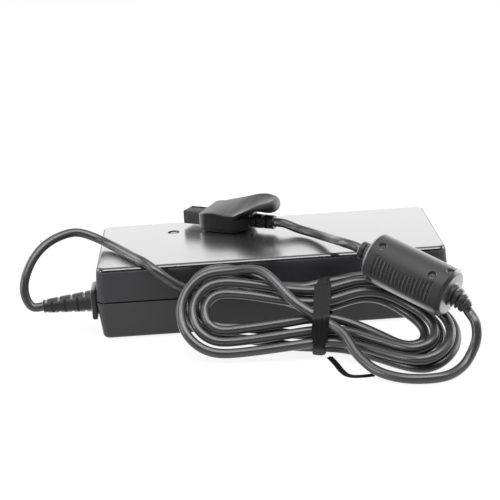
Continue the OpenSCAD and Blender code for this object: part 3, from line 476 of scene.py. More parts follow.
@dataclass(frozen=True)
class Finish:
    """One material: its colour, gloss and fine surface."""

    name: str
    colour: Triple
    rough: float = 0.5
    metal: float = 0.0  # 1 for a metal
    mottle: float = 0.12  # Share by which the colour varies
    rough_spread: float = 0.06  # How far the roughness varies to either side
    texture: Texture = Texture.PLAIN
    grain: float = 2500.0
    depth: float = 0.00002  # Height of the grain, in metres
    specular: float = 0.5
    coat: float = 0.0  # Share of a clear coat

    COAT_ROUGH = 0.1
    MOTTLE_SCALE = 90.0
    NOISE_LOW = 0.3
    NOISE_HIGH = 0.7

    def noise(self, nodes: Wiring, scale: float, detail: float,
              stretch: Triple = (1.0, 1.0, 1.0)) -> Socket:
        """Lay noise in the piece's own space.

        Args:
            nodes: The material's nodes.
            scale: How fine the noise is.
            detail: Number of octaves.
            stretch: Scale along each axis.

        Returns:
            The socket of the noise.
        """
        coord = nodes.add("ShaderNodeTexCoord").outputs["Object"]
        turn = nodes.add("ShaderNodeMapping", Vector=coord, Scale=stretch)
        return nodes.add("ShaderNodeTexNoise", Vector=turn.outputs["Vector"], Scale=scale,
                         Detail=detail).outputs["Fac"]

    def surface(self, nodes: Wiring) -> bpy.types.Node:
        """Lay the main shader with its colour, gloss and relief.

        Args:
            nodes: The material's nodes.

        Returns:
            The shader node.
        """
        large = self.noise(nodes, self.MOTTLE_SCALE, 4.0)
        dark, pale = ([min(1.0, c * (1 + way * self.mottle)) for c in self.colour]
                      for way in (-1, 1))
        tone = nodes.tree.nodes.new("ShaderNodeMix")
        tone.data_type = "RGBA"
        nodes.feed(tone, {"Factor": nodes.ramp(large, self.NOISE_LOW, self.NOISE_HIGH),
                          "A": (*dark, 1), "B": (*pale, 1)})
        rough = nodes.ramp(large, self.NOISE_LOW, self.NOISE_HIGH,
                           self.rough - self.rough_spread, self.rough + self.rough_spread)
        fine = self.noise(nodes, self.grain, 2.0, self.texture.value)
        bump = nodes.add("ShaderNodeBump", Height=fine, Strength=1.0, Distance=self.depth)
        shader = nodes.add("ShaderNodeBsdfPrincipled", Metallic=self.metal, Roughness=rough,
                           Normal=bump.outputs["Normal"])
        return nodes.feed(shader, {"Base Color": tone.outputs["Result"],
                                   "Specular IOR Level": self.specular,
                                   "Coat Weight": self.coat,
                                   "Coat Roughness": self.COAT_ROUGH})

    def shaded(self, nodes: Wiring) -> Socket:
        """Give the finished shader's socket."""
        return self.surface(nodes).outputs["BSDF"]

    def material(self) -> bpy.types.Material:
        """Make the material, or give the one that is already made.

        Returns:
            The material.
        """
        made = bpy.data.materials.get(self.name)
        if not made:
            made = bpy.data.materials.new(self.name)
            nodes = Wiring(made)
            nodes.add("ShaderNodeOutputMaterial", Surface=self.shaded(nodes))
        return made

    def dress(self, piece: bpy.types.Object) -> None:
        """Put the finish on a piece, in place of any other.

        Args:
            piece: The piece or solid.
        """
        if piece.type == "MESH" and len(piece.material_slots):
            for slot in piece.material_slots:
                slot.material = self.material()
        else:
            piece.data.materials.clear()
            piece.data.materials.append(self.material())


@dataclass(frozen=True)
class GrazingFinish(Finish):
    """A dark plastic that turns into a mirror for light that skims it.

    Attributes:
        sheen_rough: Roughness of the skimming gloss.
        sheen_tint: Its grey.
        starts: How far a face turns away before the gloss starts.
        full: How far it turns away where the gloss is full.
        flat_only: True where only level faces have the gloss.
        worn_z: Height of an edge that hands have rubbed, in metres.
        worn_half: Half the height of the rubbed band, in metres.
        worn_share: Roughness of the band as a share of the rest.
    """

    sheen_rough: float = 0.22
    sheen_tint: float = 0.96
    starts: float = 0.45
    full: float = 0.76
    flat_only: bool = False
    worn_z: Optional[float] = None
    worn_half: float = 0.0007
    worn_share: float = 0.25

    BAND_CORE = 0.7
    BAND_FADE = 1.3
    LEVEL_FROM = 0.8
    LEVEL_FULL = 0.98

    def wear(self, nodes: Wiring, shader: bpy.types.Node) -> None:
        """Make a band at one height glossier, as an edge that hands have rubbed.

        Args:
            nodes: The material's nodes.
            shader: The main shader, whose roughness and reflection change in the band.
        """
        height = nodes.calculate("SUBTRACT", nodes.axis("Object", "Z"), self.worn_z)
        off = nodes.calculate("ABSOLUTE", height)
        kept = nodes.ramp(off, self.worn_half * self.BAND_CORE, self.worn_half * self.BAND_FADE,
                          self.worn_share)
        plain = shader.inputs["Roughness"].links[0].from_socket
        nodes.feed(shader, {
            "Roughness": nodes.calculate("MULTIPLY", kept, plain),
            "Specular IOR Level": nodes.ramp(kept, self.worn_share, 1.0, 1.0, self.specular)})

    def upward(self, nodes: Wiring, share: Socket) -> Socket:
        """Keep the gloss to faces that lie level, as the sides have a coarser skin.

        Args:
            nodes: The material's nodes.
            share: Share of the gloss on all faces.

        Returns:
            The socket of the share that is left.
        """
        level = nodes.ramp(nodes.axis("Normal", "Z"), self.LEVEL_FROM, self.LEVEL_FULL)
        return nodes.calculate("MULTIPLY", level, share)

    def shaded(self, nodes: Wiring) -> Socket:
        """Mix the dark plastic with a skimming gloss.

        Args:
            nodes: The material's nodes.

        Returns:
            The socket of the finished shader.
        """
        base = self.surface(nodes)
        if self.worn_z is not None:
            self.wear(nodes, base)
        gloss = nodes.add("ShaderNodeBsdfGlossy", Color=(self.sheen_tint,) * 3 + (1,),
                          Roughness=self.sheen_rough,
                          Normal=base.inputs["Normal"].links[0].from_socket)
        facing = nodes.add("ShaderNodeLayerWeight", Blend=0.5).outputs["Facing"]
        share = nodes.ramp(facing, self.starts, self.full, smooth=True)
        if self.flat_only:
            share = self.upward(nodes, share)
        return nodes.blend(share, base.outputs["BSDF"], gloss.outputs["BSDF"])


CASE = GrazingFinish("satin_case", (0.0135, 0.013, 0.015), rough=0.4,
                     grain=1500, worn_z=0.0277, flat_only=True)
INLET = Finish("inlet_black", (0.028, 0.028, 0.029), grain=1500)
CORD = GrazingFinish("cord_gloss", (0.022, 0.0215, 0.0224), rough=0.3,
                     rough_spread=0.02, specular=0.65, grain=900, depth=0.000002,
                     sheen_rough=0.3, sheen_tint=0.85, starts=0.55, full=1.15)
MOULD = GrazingFinish("overmould_satin", (0.014, 0.014, 0.0137), rough=0.45,
                      specular=0.3, grain=2200, depth=0.000015, sheen_rough=0.34,
                      sheen_tint=0.85, starts=0.28, full=1.15)
# A copy of MOULD for the plug. Its darker colour is painted shade that darkens the whole plug to
# the tone of its shaded sides. Its gloss is also duller.
SHADED_GRIP = GrazingFinish("grip_satin_painted_shade", (0.01, 0.01, 0.0098), specular=0.12,
                     grain=2200, depth=0.000015, sheen_rough=0.45, sheen_tint=0.46, starts=0.2,
                     full=1.15)
TIE = Finish("tie_flat", (0.003, 0.003, 0.0028), rough=0.45, specular=0.2,
             grain=1200, texture=Texture.DRAWN)
FOOT = Finish("foot_matt", (0.03, 0.03, 0.03), rough=0.8)
LENS = Finish("light_guide", (0.2, 0.21, 0.19), rough=0.3, coat=0.3)
NICKEL = Finish("nickel_plate", (0.012, 0.012, 0.0125), rough=0.38, metal=0.2,
                texture=Texture.DRAWN, grain=1400)
BRASS = Finish("contact_plate", (0.72, 0.55, 0.26), rough=0.3, metal=1.0,
               texture=Texture.DRAWN, grain=1400)
BOARD = Finish("board_green", (0.03, 0.16, 0.07), rough=0.45, coat=0.3)
SHEET = Finish("sheet_paper", (0.5, 0.45, 0.34), rough=0.8, mottle=0.2)
FERRITE = Finish("ferrite_grey", (0.07, 0.07, 0.075), rough=0.55, grain=900,
                 depth=0.00005)
COPPER = Finish("enamelled_wire", (0.5, 0.2, 0.08), rough=0.3, metal=0.9,
                texture=Texture.WOUND, grain=2600, depth=0.0002)
TAPE = Finish("winding_tape", (0.65, 0.5, 0.08), rough=0.35, coat=0.3)
SINK = Finish("sink_metal", (0.6, 0.6, 0.62), rough=0.4, metal=1.0,
              texture=Texture.DRAWN, grain=1000)
EPOXY = Finish("epoxy_black", (0.025, 0.025, 0.025), rough=0.55)
SLEEVE = Finish("can_sleeve", (0.03, 0.05, 0.14), rough=0.3, coat=0.4)
FILM = Finish("film_box", (0.5, 0.38, 0.08), rough=0.45)
DISC = Finish("dipped_disc", (0.05, 0.14, 0.36), rough=0.35, coat=0.4)
OPTO = Finish("opto_white", (0.7, 0.7, 0.66))
WIRE = Finish("wire_red", (0.4, 0.04, 0.03), rough=0.35)


# -------------------------------------------------------------------- cord


@dataclass(frozen=True)
class Fold:
    """One end of the hank, or its waist, in millimetres and degrees.

    Attributes:
        x: Place along the hank of the outermost strand, or of the waist.
        floor_y: Where the lowest strand stands.
        lean: How far the hank leans back from upright.
        first: Distance of the innermost strand from the middle.
        step: Distance from each strand to the next.
        tuck: How much nearer to the waist each inner fold lies.
        ease: Distance from the waist over which place and lean change.
        drop: How far the front layer slides down its slope.
        lift: How far the back layer slides up.
    """

    x: float
    floor_y: float
    lean: float
    first: float
    step: float
    tuck: float = 0.0
    ease: float = 0.0
    drop: float = 0.0
    lift: float = 0.0


@dataclass
class HankShape:
    """The five-turn hank: folds at both ends and a waist where the tie sits.

    It starts at the top of the waist in the back layer, goes inwards, changes to the front
    layer half way and goes outwards again. Its last strand leaves downwards in front.
    """

    waist: Fold = Fold(16.0, -61.0, 47.0, 2.0, 4.8)
    left: Fold = Fold(-36.0, -55.0, 40.0, 6.0, 4.4, tuck=4.4, ease=40.0, drop=3.0, lift=3.0)
    right: Fold = Fold(63.5, -86.0, 70.0, 8.5, 5.1, tuck=5.5, ease=38.0, drop=2.0)
    layer: float = 4.4  # Distance from the back layer to the front one
    turns: int = 5
    run: float = 0.14  # Share of a turn from the waist to a fold
    end_low: float = 5.0  # How far below the middle the last strand leaves
    floor_gap: float = 0.05
    to_front: float = 0.55  # Share of the last run over which the strand comes out in front
    down_from: float = 0.35  # Share of the last run after which it goes down
    slides_from: float = 0.3  # How far to the front a strand lies where it starts to slide down

    def waist_half(self) -> float:
        """Give half the height of the bundle at the waist."""
        return self.waist.first + self.turns / 2 * self.waist.step

    def slope(self, lean: float) -> tuple[np.ndarray, np.ndarray]:
        """Give the directions up the hank's slope and out of it, for a lean in radians."""
        return (np.array([0, math.sin(lean), math.cos(lean)]),
                np.array([0, -math.cos(lean), math.sin(lean)]))

    def foot(self, x: float, floor_y: float, lean: float, d: float) -> np.ndarray:
        """Find where the lowest strand stands.

        Args:
            x: Place along the hank.
            floor_y: Place on the floor.
            lean: The lean there, in radians.
            d: The cord's thickness.

        Returns:
            The middle of the strand, in millimetres.
        """
        return np.array([x, floor_y, d / 2 + self.layer / 2 * math.sin(lean) + self.floor_gap])

    def around(self, t: float, straight: float, radius: float) -> Pair:
        """Follow one turn: a straight run, a fold and a straight run at either end.

        Args:
            t: Share of the turn, from the top of the waist over the right end.
            straight: Distance from the waist to the middle of the fold.
            radius: Radius of the fold.

        Returns:
            Place along from the waist, and height as a share of the half height there.
        """
        side = 1 if t < 0.5 else -1
        t %= 0.5
        bend = 0.5 - 2 * self.run
        if t < self.run:
            return side * straight * t / self.run, side
        if t >= self.run + bend:
            return side * straight * (0.5 - t) / self.run, -side
        a = math.radians(90 - 180 * (t - self.run) / bend)
        return side * (straight + radius * math.cos(a)), side * math.sin(a)

    def point(self, tau: float, d: float) -> np.ndarray:
        """Find a point of the hank.

        Args:
            tau: Turns from the start.
            d: The cord's thickness.

        Returns:
            The point in millimetres.
        """
        half, waist = self.turns / 2, self.waist
        rank, t = abs(tau - half), tau - math.floor(tau)
        end = self.right if t < 0.5 else self.left
        radius = end.first + rank * end.step
        straight = abs(end.x - waist.x) - (half - rank) * end.tuck - radius
        x, height = self.around(t, straight, radius)

        into_end, ease = smoothstep(abs(x) / straight), smoothstep(abs(x) / end.ease)
        outer = mix(self.waist_half(), end.first + half * end.step, into_end)
        strand = mix(waist.first + rank * waist.step, radius, into_end)
        leaving = (tau - self.turns + self.run) / self.run
        if leaving > 0:
            front = 1 + 2 * smoothstep(leaving / self.to_front)
            down = smoothstep((leaving - self.down_from) / (1 - self.down_from))
            height = mix(strand, -self.end_low, down)
        else:
            front = -1 + 2 * smoothstep((tau - half + self.run) / self.run)
            height *= strand
        sunk = smoothstep((front - self.slides_from) / (1 - self.slides_from))
        shift = into_end * (end.lift * (1 - min(1, front)) / 2 - end.drop * sunk)
        lean = math.radians(mix(waist.lean, end.lean, ease))
        up, out = self.slope(lean)
        foot = self.foot(waist.x + x, mix(waist.floor_y, end.floor_y, ease), lean, d)
        return foot + up * (outer + height + shift) + out * (self.layer / 2 * front)

    def points(self, d: float, per_turn: int = 24) -> list[np.ndarray]:
        """List the points of all turns."""
        return [self.point(i / per_turn, d) for i in range(self.turns * per_turn + 1)]


@dataclass
class FerriteLine:
    """Where the ferrite lies: its plug-side end, its turn and its bent relief."""

    start: Triple = (35.8, -48.9, 33.9)
    yaw: float = -38.1
    tilt: float = 17.3
    length: float = 32.6
    collars: float = 5.5  # Length of the collars before the start
    relief: float = 7.4
    bend: float = 38.0  # How far the relief bends down

    def axes(self) -> tuple[np.ndarray, np.ndarray, np.ndarray]:
        """Work out the block's own directions.

        Returns:
            The directions along, down and back.
        """
        y, t = math.radians(self.yaw), math.radians(self.tilt)
        along = np.array([math.cos(t) * math.cos(y), math.cos(t) * math.sin(y), -math.sin(t)])
        down = np.array([-math.sin(t) * math.cos(y), -math.sin(t) * math.sin(y), -math.cos(t)])
        return along, down, np.array([-math.sin(y), math.cos(y), 0.0])

    def at(self, s: float) -> tuple[np.ndarray, np.ndarray, np.ndarray, np.ndarray]:
        """Find the centre line and its directions.

        Args:
            s: Distance from the start, in millimetres. The relief bends after the length.

        Returns:
            The point, and the directions along, down and back there.
        """
        along, down, back = self.axes()
        start = np.array(self.start)
        if s <= self.length:
            return start + along * s, along, down, back
        radius = self.relief / math.radians(self.bend)
        a = (s - self.length) / radius
        point = (start + along * (self.length + radius * math.sin(a))
                 + down * radius * (1 - math.cos(a)))
        return (point, along * math.cos(a) + down * math.sin(a),
                down * math.cos(a) - along * math.sin(a), back)


@dataclass
class OutputCord:
    """The cord from the boot to the plug, wound into its hank on the way."""

    d: float = 3.5
    boot_tip: Triple = (-87.599, -19.5, 12.621)
    droop: float = 3.0
    plug_exit: Triple = (3.538, 3.975, 32.9)
    plug_yaw: float = -30.0
    shape: HankShape = field(default_factory=HankShape)
    ferrite: FerriteLine = field(default_factory=FerriteLine)
    hidden: float = 2.0  # Length inside the boot and inside the plug
    to_hank: float = 5.5  # Straight length before the hank
    to_relief: float = 1.6  # Straight length before the ferrite's relief
    from_collars: float = 2.1  # Straight length after its collars
    # From the boot over the corner of the lid and its front edge to the hank.
    lead: tuple = ((-92.6, -19.2, 13.4), (-94.2, -18.2, 16.6), (-94.4, -16.6, 21),
                   (-92.8, -13.8, 25.8), (-89.8, -10.2, 30.2), (-85.4, -6, 33.4), (-80, -2, 35),
                   (-74.4, 0.8, 35), (-69.2, 0.4, 33.5), (-64.6, -1.8, 31.8),
                   (-60.4, -6.4, 30.9), (-56, -13.6, 30.7), (-51.8, -21.4, 30.7),
                   (-47.6, -28.2, 30.4), (-43.2, -32.2, 28), (-38.4, -33, 24.1),
                   (-33, -32.2, 20.6), (-26, -31.3, 18.2), (-18, -31.3, 17.6),
                   (-10, -31.6, 17.8), (-3, -33, 18.6), (4, -36, 20))
    # From the hank, round on the floor, to the ferrite.
    loop: tuple = ((22.3, -64.6, 10.9), (24.8, -70.4, 7.7), (27.6, -75.6, 5), (31.2, -80, 3),
                   (36.2, -84.2, 2.05), (43, -87.6, 1.85), (50.2, -88.3, 1.85),
                   (55.4, -86.7, 1.85), (59.4, -84, 2.4), (62.6, -81.4, 3.9), (65, -79.4, 6.6),
                   (66.7, -78, 9.8), (67.3, -76.7, 13.2), (66.9, -74.7, 16.6))
    # From the plug to the ferrite.
    tail: tuple = ((11, -0.6, 31.6), (15, -4.6, 31.1), (18.4, -9.9, 31.3), (21, -16, 32),
                   (22.9, -22.8, 33.2), (24.2, -29.6, 34.6), (25.4, -36, 35.9),
                   (27.4, -41.2, 36.5))
    evenness: float = 0.75  # Power of a span's length that sets how tightly the curve turns
    facets: int = 6  # Steps round a quarter of the cord's thickness
    steps: int = 10  # Steps from each point of the route to the next

    def route(self) -> np.ndarray:
        """List the points that the cord follows.

        Returns:
            The points in millimetres, from the boot to the plug.
        """
        a, y = math.radians(self.droop), math.radians(self.plug_yaw)
        out, off_plug = (np.array(v) for v in ((-math.cos(a), 0, -math.sin(a)),
                                               (math.cos(y), math.sin(y), 0)))
        tip, plug = np.array(self.boot_tip), np.array(self.plug_exit)
        hank = self.shape.points(self.d)
        into, off = unit(hank[1] - hank[0]), unit(hank[-1] - hank[-2])
        block = self.ferrite
        last, heading = block.at(block.length + block.relief)[:2]
        quarters = [block.length + block.relief * k / 4 for k in (3, 2, 1, 0)]
        quarters += [block.length * k / 4 for k in (3, 2, 1, 0)]
        quarters += [-block.collars, -block.collars - self.from_collars]
        return np.array([
            tip - out * self.hidden, tip, tip + out * self.d, *self.lead,
            hank[0] - into * self.to_hank, *hank, hank[-1] + off * self.d, *self.loop,
            last + heading * self.to_relief, last, *(block.at(s)[0] for s in quarters),
            *reversed(self.tail), plug + off_plug * self.d, plug,
            plug - off_plug * self.hidden])

    def slopes(self, p: np.ndarray, span: np.ndarray) -> np.ndarray:
        """Solve for the slopes that make one smooth curve.

        Args:
            p: The route.
            span: The curve's own measure from each point to the next.

        Returns:
            The slope at each point.
        """
        n = len(p)
        step = np.diff(p, axis=0) / span[:, None]
        a, b = np.zeros((n, n)), np.zeros((n, 3))
        a[0, :2], b[0] = (2, 1), 3 * step[0]
        a[-1, -2:], b[-1] = (1, 2), 3 * step[-1]
        for i in range(1, n - 1):
            a[i, i - 1:i + 2] = span[i], 2 * (span[i - 1] + span[i]), span[i - 1]
            b[i] = 3 * (span[i] * step[i - 1] + span[i - 1] * step[i])
        return np.linalg.solve(a, b)

    def curve(self) -> tuple[bpy.types.Object, float]:
        """Draw one smooth curve through the route.

        Returns:
            The curve object and its length in metres.
        """
        p = self.route()
        span = np.linalg.norm(np.diff(p, axis=0), axis=1) ** self.evenness
        slope = self.slopes(p, span)
        data = bpy.data.curves.new("output_cord", "CURVE")
        data.dimensions = "3D"
        data.bevel_depth = self.d / 2 * MM
        data.bevel_resolution = self.facets
        data.use_fill_caps = True
        data.resolution_u = self.steps
        spline = data.splines.new("BEZIER")
        spline.bezier_points.add(len(p) - 1)
        spline.resolution_u = self.steps
        for i, knot in enumerate(spline.bezier_points):
            before, after = span[max(0, i - 1)], span[min(len(span) - 1, i)]
            knot.handle_left_type = knot.handle_right_type = "FREE"
            knot.co = Vector(p[i]) * MM
            knot.handle_left = Vector(p[i] - slope[i] * before / 3) * MM
            knot.handle_right = Vector(p[i] + slope[i] * after / 3) * MM
        length = 0.0
        t = np.linspace(0, 1, 9)[:, None]
        for i, h in enumerate(span):
            a, b, c, d = (p[i], p[i] + slope[i] * h / 3, p[i + 1] - slope[i + 1] * h / 3, p[i + 1])
            line = ((1 - t) ** 3 * a + 3 * t * (1 - t) ** 2 * b + 3 * t * t * (1 - t) * c
                    + t ** 3 * d)
            length += np.linalg.norm(np.diff(line, axis=0), axis=1).sum()
        cord = bpy.data.objects.new("output_cord", data)
        bpy.context.collection.objects.link(cord)
        return cord, length * MM

    def build(self) -> tuple[bpy.types.Object, float]:
        """Make the cord, dress it and put it in place of the plain tubes.

        Returns:
            The cord and its length in metres.
        """
        cord, length = self.curve()
        CORD.dress(cord)
        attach(cord, "root")
        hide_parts("cord_lead", "cord_hank", "cord_loop", "cord_in_ferrite",
                    "cord_to_plug")
        return cord, length


# --------------------------------------------------------------------- tie


@dataclass
class TwistTie:
    """The flat tie wound round the waist of the hank, with its loose end on the floor."""

    width: float = 2.6
    thick: float = 0.42
    # Half of its outer face, up to the wire's ridge, as shares of width and thickness.
    section: tuple = ((-0.5, 0.3), (-0.47, 0.75), (-0.3, 0.92), (-0.16, 1.0), (-0.08, 1.25),
                      (0, 1.35))
    inner_half: float = 0.45  # Half of its inner face, as a share of the width
    wraps: float = 3.06
    spread: Pair = (0.75, 1.85)  # From wrap to wrap, at the top and half way up
    spread_rate: float = 1.6  # How soon that distance grows away from the top
    slant: float = 2.4  # How far the wraps lean along the hank
    middle_x: float = 0.2
    waver: float = 0.15  # How far the wraps waver
    waver_rate: float = 2.3
    pile: float = 0.14  # How far each wrap lies over the one before
    clearance: float = 0.26  # To the strands
    per_wrap: int = 90  # Steps in each wrap
    look_ahead: float = 0.006  # Share of a wrap over which its direction is read
    tail: tuple = ((17.6, -60.4, 0.32), (19.2, -66.5, 0.2), (20.4, -72.5, 0.12),
                   (21.9, -76.6, 0.06), (24.2, -78.3, 0.04), (27.6, -78.6, 0.04),
                   (31.2, -78.2, 0.04))
    tail_width: float = 2.3
    tail_steps: int = 6

    def outline(self, shape: HankShape, d: float) -> list[np.ndarray]:
        """Walk once round the strands at the waist.

        Args:
            shape: The hank.
            d: The cord's thickness.

        Returns:
            Points in the plane across the waist, up and outwards, in millimetres.
        """
        top, half = shape.waist_half(), shape.layer / 2
        low = shape.waist.step / 2 - top
        strands = [(top, -half), (top - shape.waist.step, half),
                   (-shape.end_low, shape.layer * 1.5), (low, half), (low, -half)]
        r = d / 2 + self.clearance
        steps = 8
        points = []
        for i, (up, out) in enumerate(strands):
            before, after = strands[i - 1], strands[(i + 1) % len(strands)]
            came = math.atan2(out - before[1], up - before[0])
            goes = math.atan2(after[1] - out, after[0] - up)
            for k in range(steps + 1):
                a = came - math.pi / 2 + (goes - came) % (2 * math.pi) * k / steps
                points.append(np.array([up + r * math.cos(a), out + r * math.sin(a)]))
        return points

    def strip(self, centres: list[np.ndarray], outs: list[np.ndarray], width: float
              ) -> list[Ring]:
        """Sweep the flat section, with the ridge of its wire, along points.

        Args:
            centres: Middle of the inner face.
            outs: Direction away from what it wraps.
            width: Width of the strip.

        Returns:
            The rings of the strip.
        """
        section = [*self.section, *((-u, v) for u, v in reversed(self.section[:-1])),
                   (self.inner_half, 0.0), (-self.inner_half, 0.0)]
        rings = []
        last = len(centres) - 1
        for i, (centre, out) in enumerate(zip(centres, outs)):
            ahead = unit(centres[min(i + 1, last)] - centres[max(i - 1, 0)])
            out = unit(out - ahead * float(out @ ahead))
            across = np.cross(ahead, out)
            rings.append([tuple(centre + across * u * width + out * v * self.thick)
                          for u, v in section])
        return rings

    def wound(self, shape: HankShape, d: float) -> list[Ring]:
        """Wind the tie round the waist.

        Args:
            shape: The hank.
            d: The cord's thickness.

        Returns:
            The rings of the wound part.
        """
        lean, top = math.radians(shape.waist.lean), shape.waist_half()
        up, out = shape.slope(lean)
        middle = shape.foot(shape.waist.x, shape.waist.floor_y, lean, d) + up * top
        flat = np.array(self.outline(shape, d))
        loop = np.vstack([flat, flat[:1]])
        run = np.append(0, np.cumsum(np.linalg.norm(np.diff(loop, axis=0), axis=1)))

        def on_loop(turn: float) -> np.ndarray:
            """Find the place on the outline after a number of turns."""
            return np.array([np.interp(turn % 1.0 * run[-1], run, line) for line in loop.T])

        centres, outs = [], []
        for k in range(int(self.wraps * self.per_wrap) + 1):
            turn = k / self.per_wrap
            p = on_loop(turn)
            ahead = on_loop(turn + self.look_ahead) - p
            away = unit(np.array([-ahead[1], ahead[0]]))
            if away @ (p - flat.mean(axis=0)) < 0:
                away = -away
            rise = p[0] / top
            apart = mix(*self.spread, smoothstep(self.spread_rate * (1 - rise * rise)))
            x = (self.middle_x + self.slant * rise + apart * (turn - self.wraps / 2)
                 + self.waver * math.sin(self.waver_rate * turn * math.pi))
            outs.append(up * away[0] + out * away[1])
            centres.append(middle + up * p[0] + out * p[1] + np.array([x, 0, 0])
                           + outs[-1] * self.pile * turn)
        return self.strip(centres, outs, self.width)

    def build(self, shape: HankShape, d: float) -> bpy.types.Object:
        """Wind the tie and lay its tail.

        Args:
            shape: The hank.
            d: The cord's thickness.

        Returns:
            The tie.
        """
        tail = through([np.array(p) for p in self.tail], self.tail_steps)
        loose = self.strip(tail, [np.array([0, 0, 1.0])] * len(tail), self.tail_width)
        tie = loft("hank_tie", [self.wound(shape, d), loose], 30)
        TIE.dress(tie)
        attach(tie, "root")
        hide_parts("cord_tie")
        return tie


# ----------------------------------------------------------------- ferrite


@dataclass
class FerriteBlock:
    """The moulded jacket with its ribs, dimples, collars and bent relief.

    Angles go round the block in degrees, from its lowest line towards the back.
    """

    line: FerriteLine
    d: float = 18.0
    edge: float = 1.2
    bore_r: float = 1.78
    collar_d: float = 6.9
    relief_d: float = 8.5
    relief_end: float = 5.1  # Diameter of the relief's slots
    relief_rings: int = 4
    ribs: int = 16
    rib_pitch: float = 1.5
    rib_depth: float = 0.36
    rib_half: float = 0.34  # Half a groove as a share of the pitch
    rib_side: float = 0.12  # Width of a groove's side as a share of the pitch
    rib_from: float = -130.0
    rib_to: float = -70.0
    rib_bow: float = 16.0  # How far the start of the ribs bows
    rib_bow_rate: float = 1.2
    rib_fade: float = 7.0  # Angle over which the ribs fade
    # Place along and angle of each mould dimple.
    dimples: tuple = ((4.7, -148.0), (26.0, -138.0), (3.6, -50.0), (30.6, -170.0))
    dimple_d: float = 2.9
    dimple_depth: float = 0.9
    dimple_side: float = 0.35
    around: int = 144
    station: float = 0.18  # Distance from ring to ring

    def groove(self, s: float, angle: float) -> float:
        """Find the depth of the ribs' grooves.

        Args:
            s: Place along the block.
            angle: Place round it.

        Returns:
            The depth.
        """
        off = s - self.line.length / 2
        if abs(off) > self.rib_pitch * self.ribs / 2:
            return 0.0
        phase = (off / self.rib_pitch) % 1.0
        wave = smoothstep((self.rib_half - abs(phase - 0.5)) / self.rib_side)
        turn = math.pi * off / self.line.length * self.rib_bow_rate
        start = self.rib_from + self.rib_bow * math.cos(turn)
        return (self.rib_depth * wave * smoothstep((angle - start) / self.rib_fade)
                * smoothstep((self.rib_to - angle) / self.rib_fade))

    def dimple(self, s: float, angle: float) -> float:
        """Find the depth of the mould dimples.

        Args:
            s: Place along the block.
            angle: Place round it.

        Returns:
            The depth.
        """
        shares = []
        for at, turn in self.dimples:
            gap = (angle - turn + 180) % 360 - 180
            far = math.hypot(s - at, math.radians(gap) * self.d / 2)
            shares.append(smoothstep((self.dimple_d / 2 - far) / self.dimple_side))
        return self.dimple_depth * max(shares)

    def profile(self) -> list[Pair]:
        """Draw the block's profile, from the collars to the tip of the relief.

        Returns:
            Place along and radius of each point.
        """
        c, r, length, start = self.collar_d / 2, self.d / 2, self.line.length, -self.line.collars
        left = [(start, self.bore_r, 0), (start, c - 0.7, 0.3), (start + 0.5, c, 0.3),
                (-3.3, c, 0.25), (-3.25, c - 0.8, 0.15), (-2.5, c - 0.8, 0.15),
                (-2.45, c + 0.3, 0.3), (-0.8, c + 0.3, 0.3), (-0.75, c - 0.4, 0.15),
                (0, c - 0.4, 0.15), (0, r - self.edge, 0.5), (self.edge, r, 0.9),
                (self.edge + 0.6, r, 0)]
        body = [(s, r) for s in np.arange(self.edge + 0.8, length - self.edge - 0.7,
                                          self.station)]
        right = [(length - self.edge - 0.6, r, 0), (length - self.edge, r, 0.9),
                 (length, r - self.edge, 0.5), (length, self.relief_d / 2, 0.15)]
        pitch, low = self.line.relief / self.relief_rings, self.relief_end / 2
        for i in range(self.relief_rings):
            top = mix(self.relief_d, self.relief_end + 0.6, i / (self.relief_rings - 1)) / 2
            s = length + i * pitch
            if i:
                right.append((s, top, 0.25))
            right += [(s + pitch * 0.64, top - 0.08, 0.25), (s + pitch * 0.66, low, 0.1),
                      (s + pitch * 0.98, low, 0.1)]
        right.append((length + self.line.relief, self.bore_r, 0))
        return eased_profile(left) + body + eased_profile(right)

    def jacket(self) -> list[Ring]:
        """Sweep the profile round the block's line, with its ribs and dimples.

        Returns:
            The rings, from the plug side to the tip of the relief.
        """
        angles = [360 * k / self.around - 180 for k in range(self.around)]
        rings = []
        for s, radius in self.profile():
            centre, _, down, back = self.line.at(s)
            plain = not self.edge < s < self.line.length - self.edge
            ring = []
            for angle in angles:
                sunk = 0 if plain else max(self.groove(s, angle), self.dimple(s, angle))
                a = math.radians(angle)
                ring.append(tuple(centre + (radius - sunk)
                                  * (math.cos(a) * down + math.sin(a) * back)))
            rings.append(ring)
        return rings

    def build(self) -> bpy.types.Object:
        """Make the jacket and put it in place of the plain one.

        Returns:
            The jacket.
        """
        piece = loft("ferrite_block", [self.jacket()], 32)
        MOULD.dress(piece)
        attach(piece, "root")
        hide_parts("ferrite_jacket")
        return piece


# -------------------------------------------------------------------- case


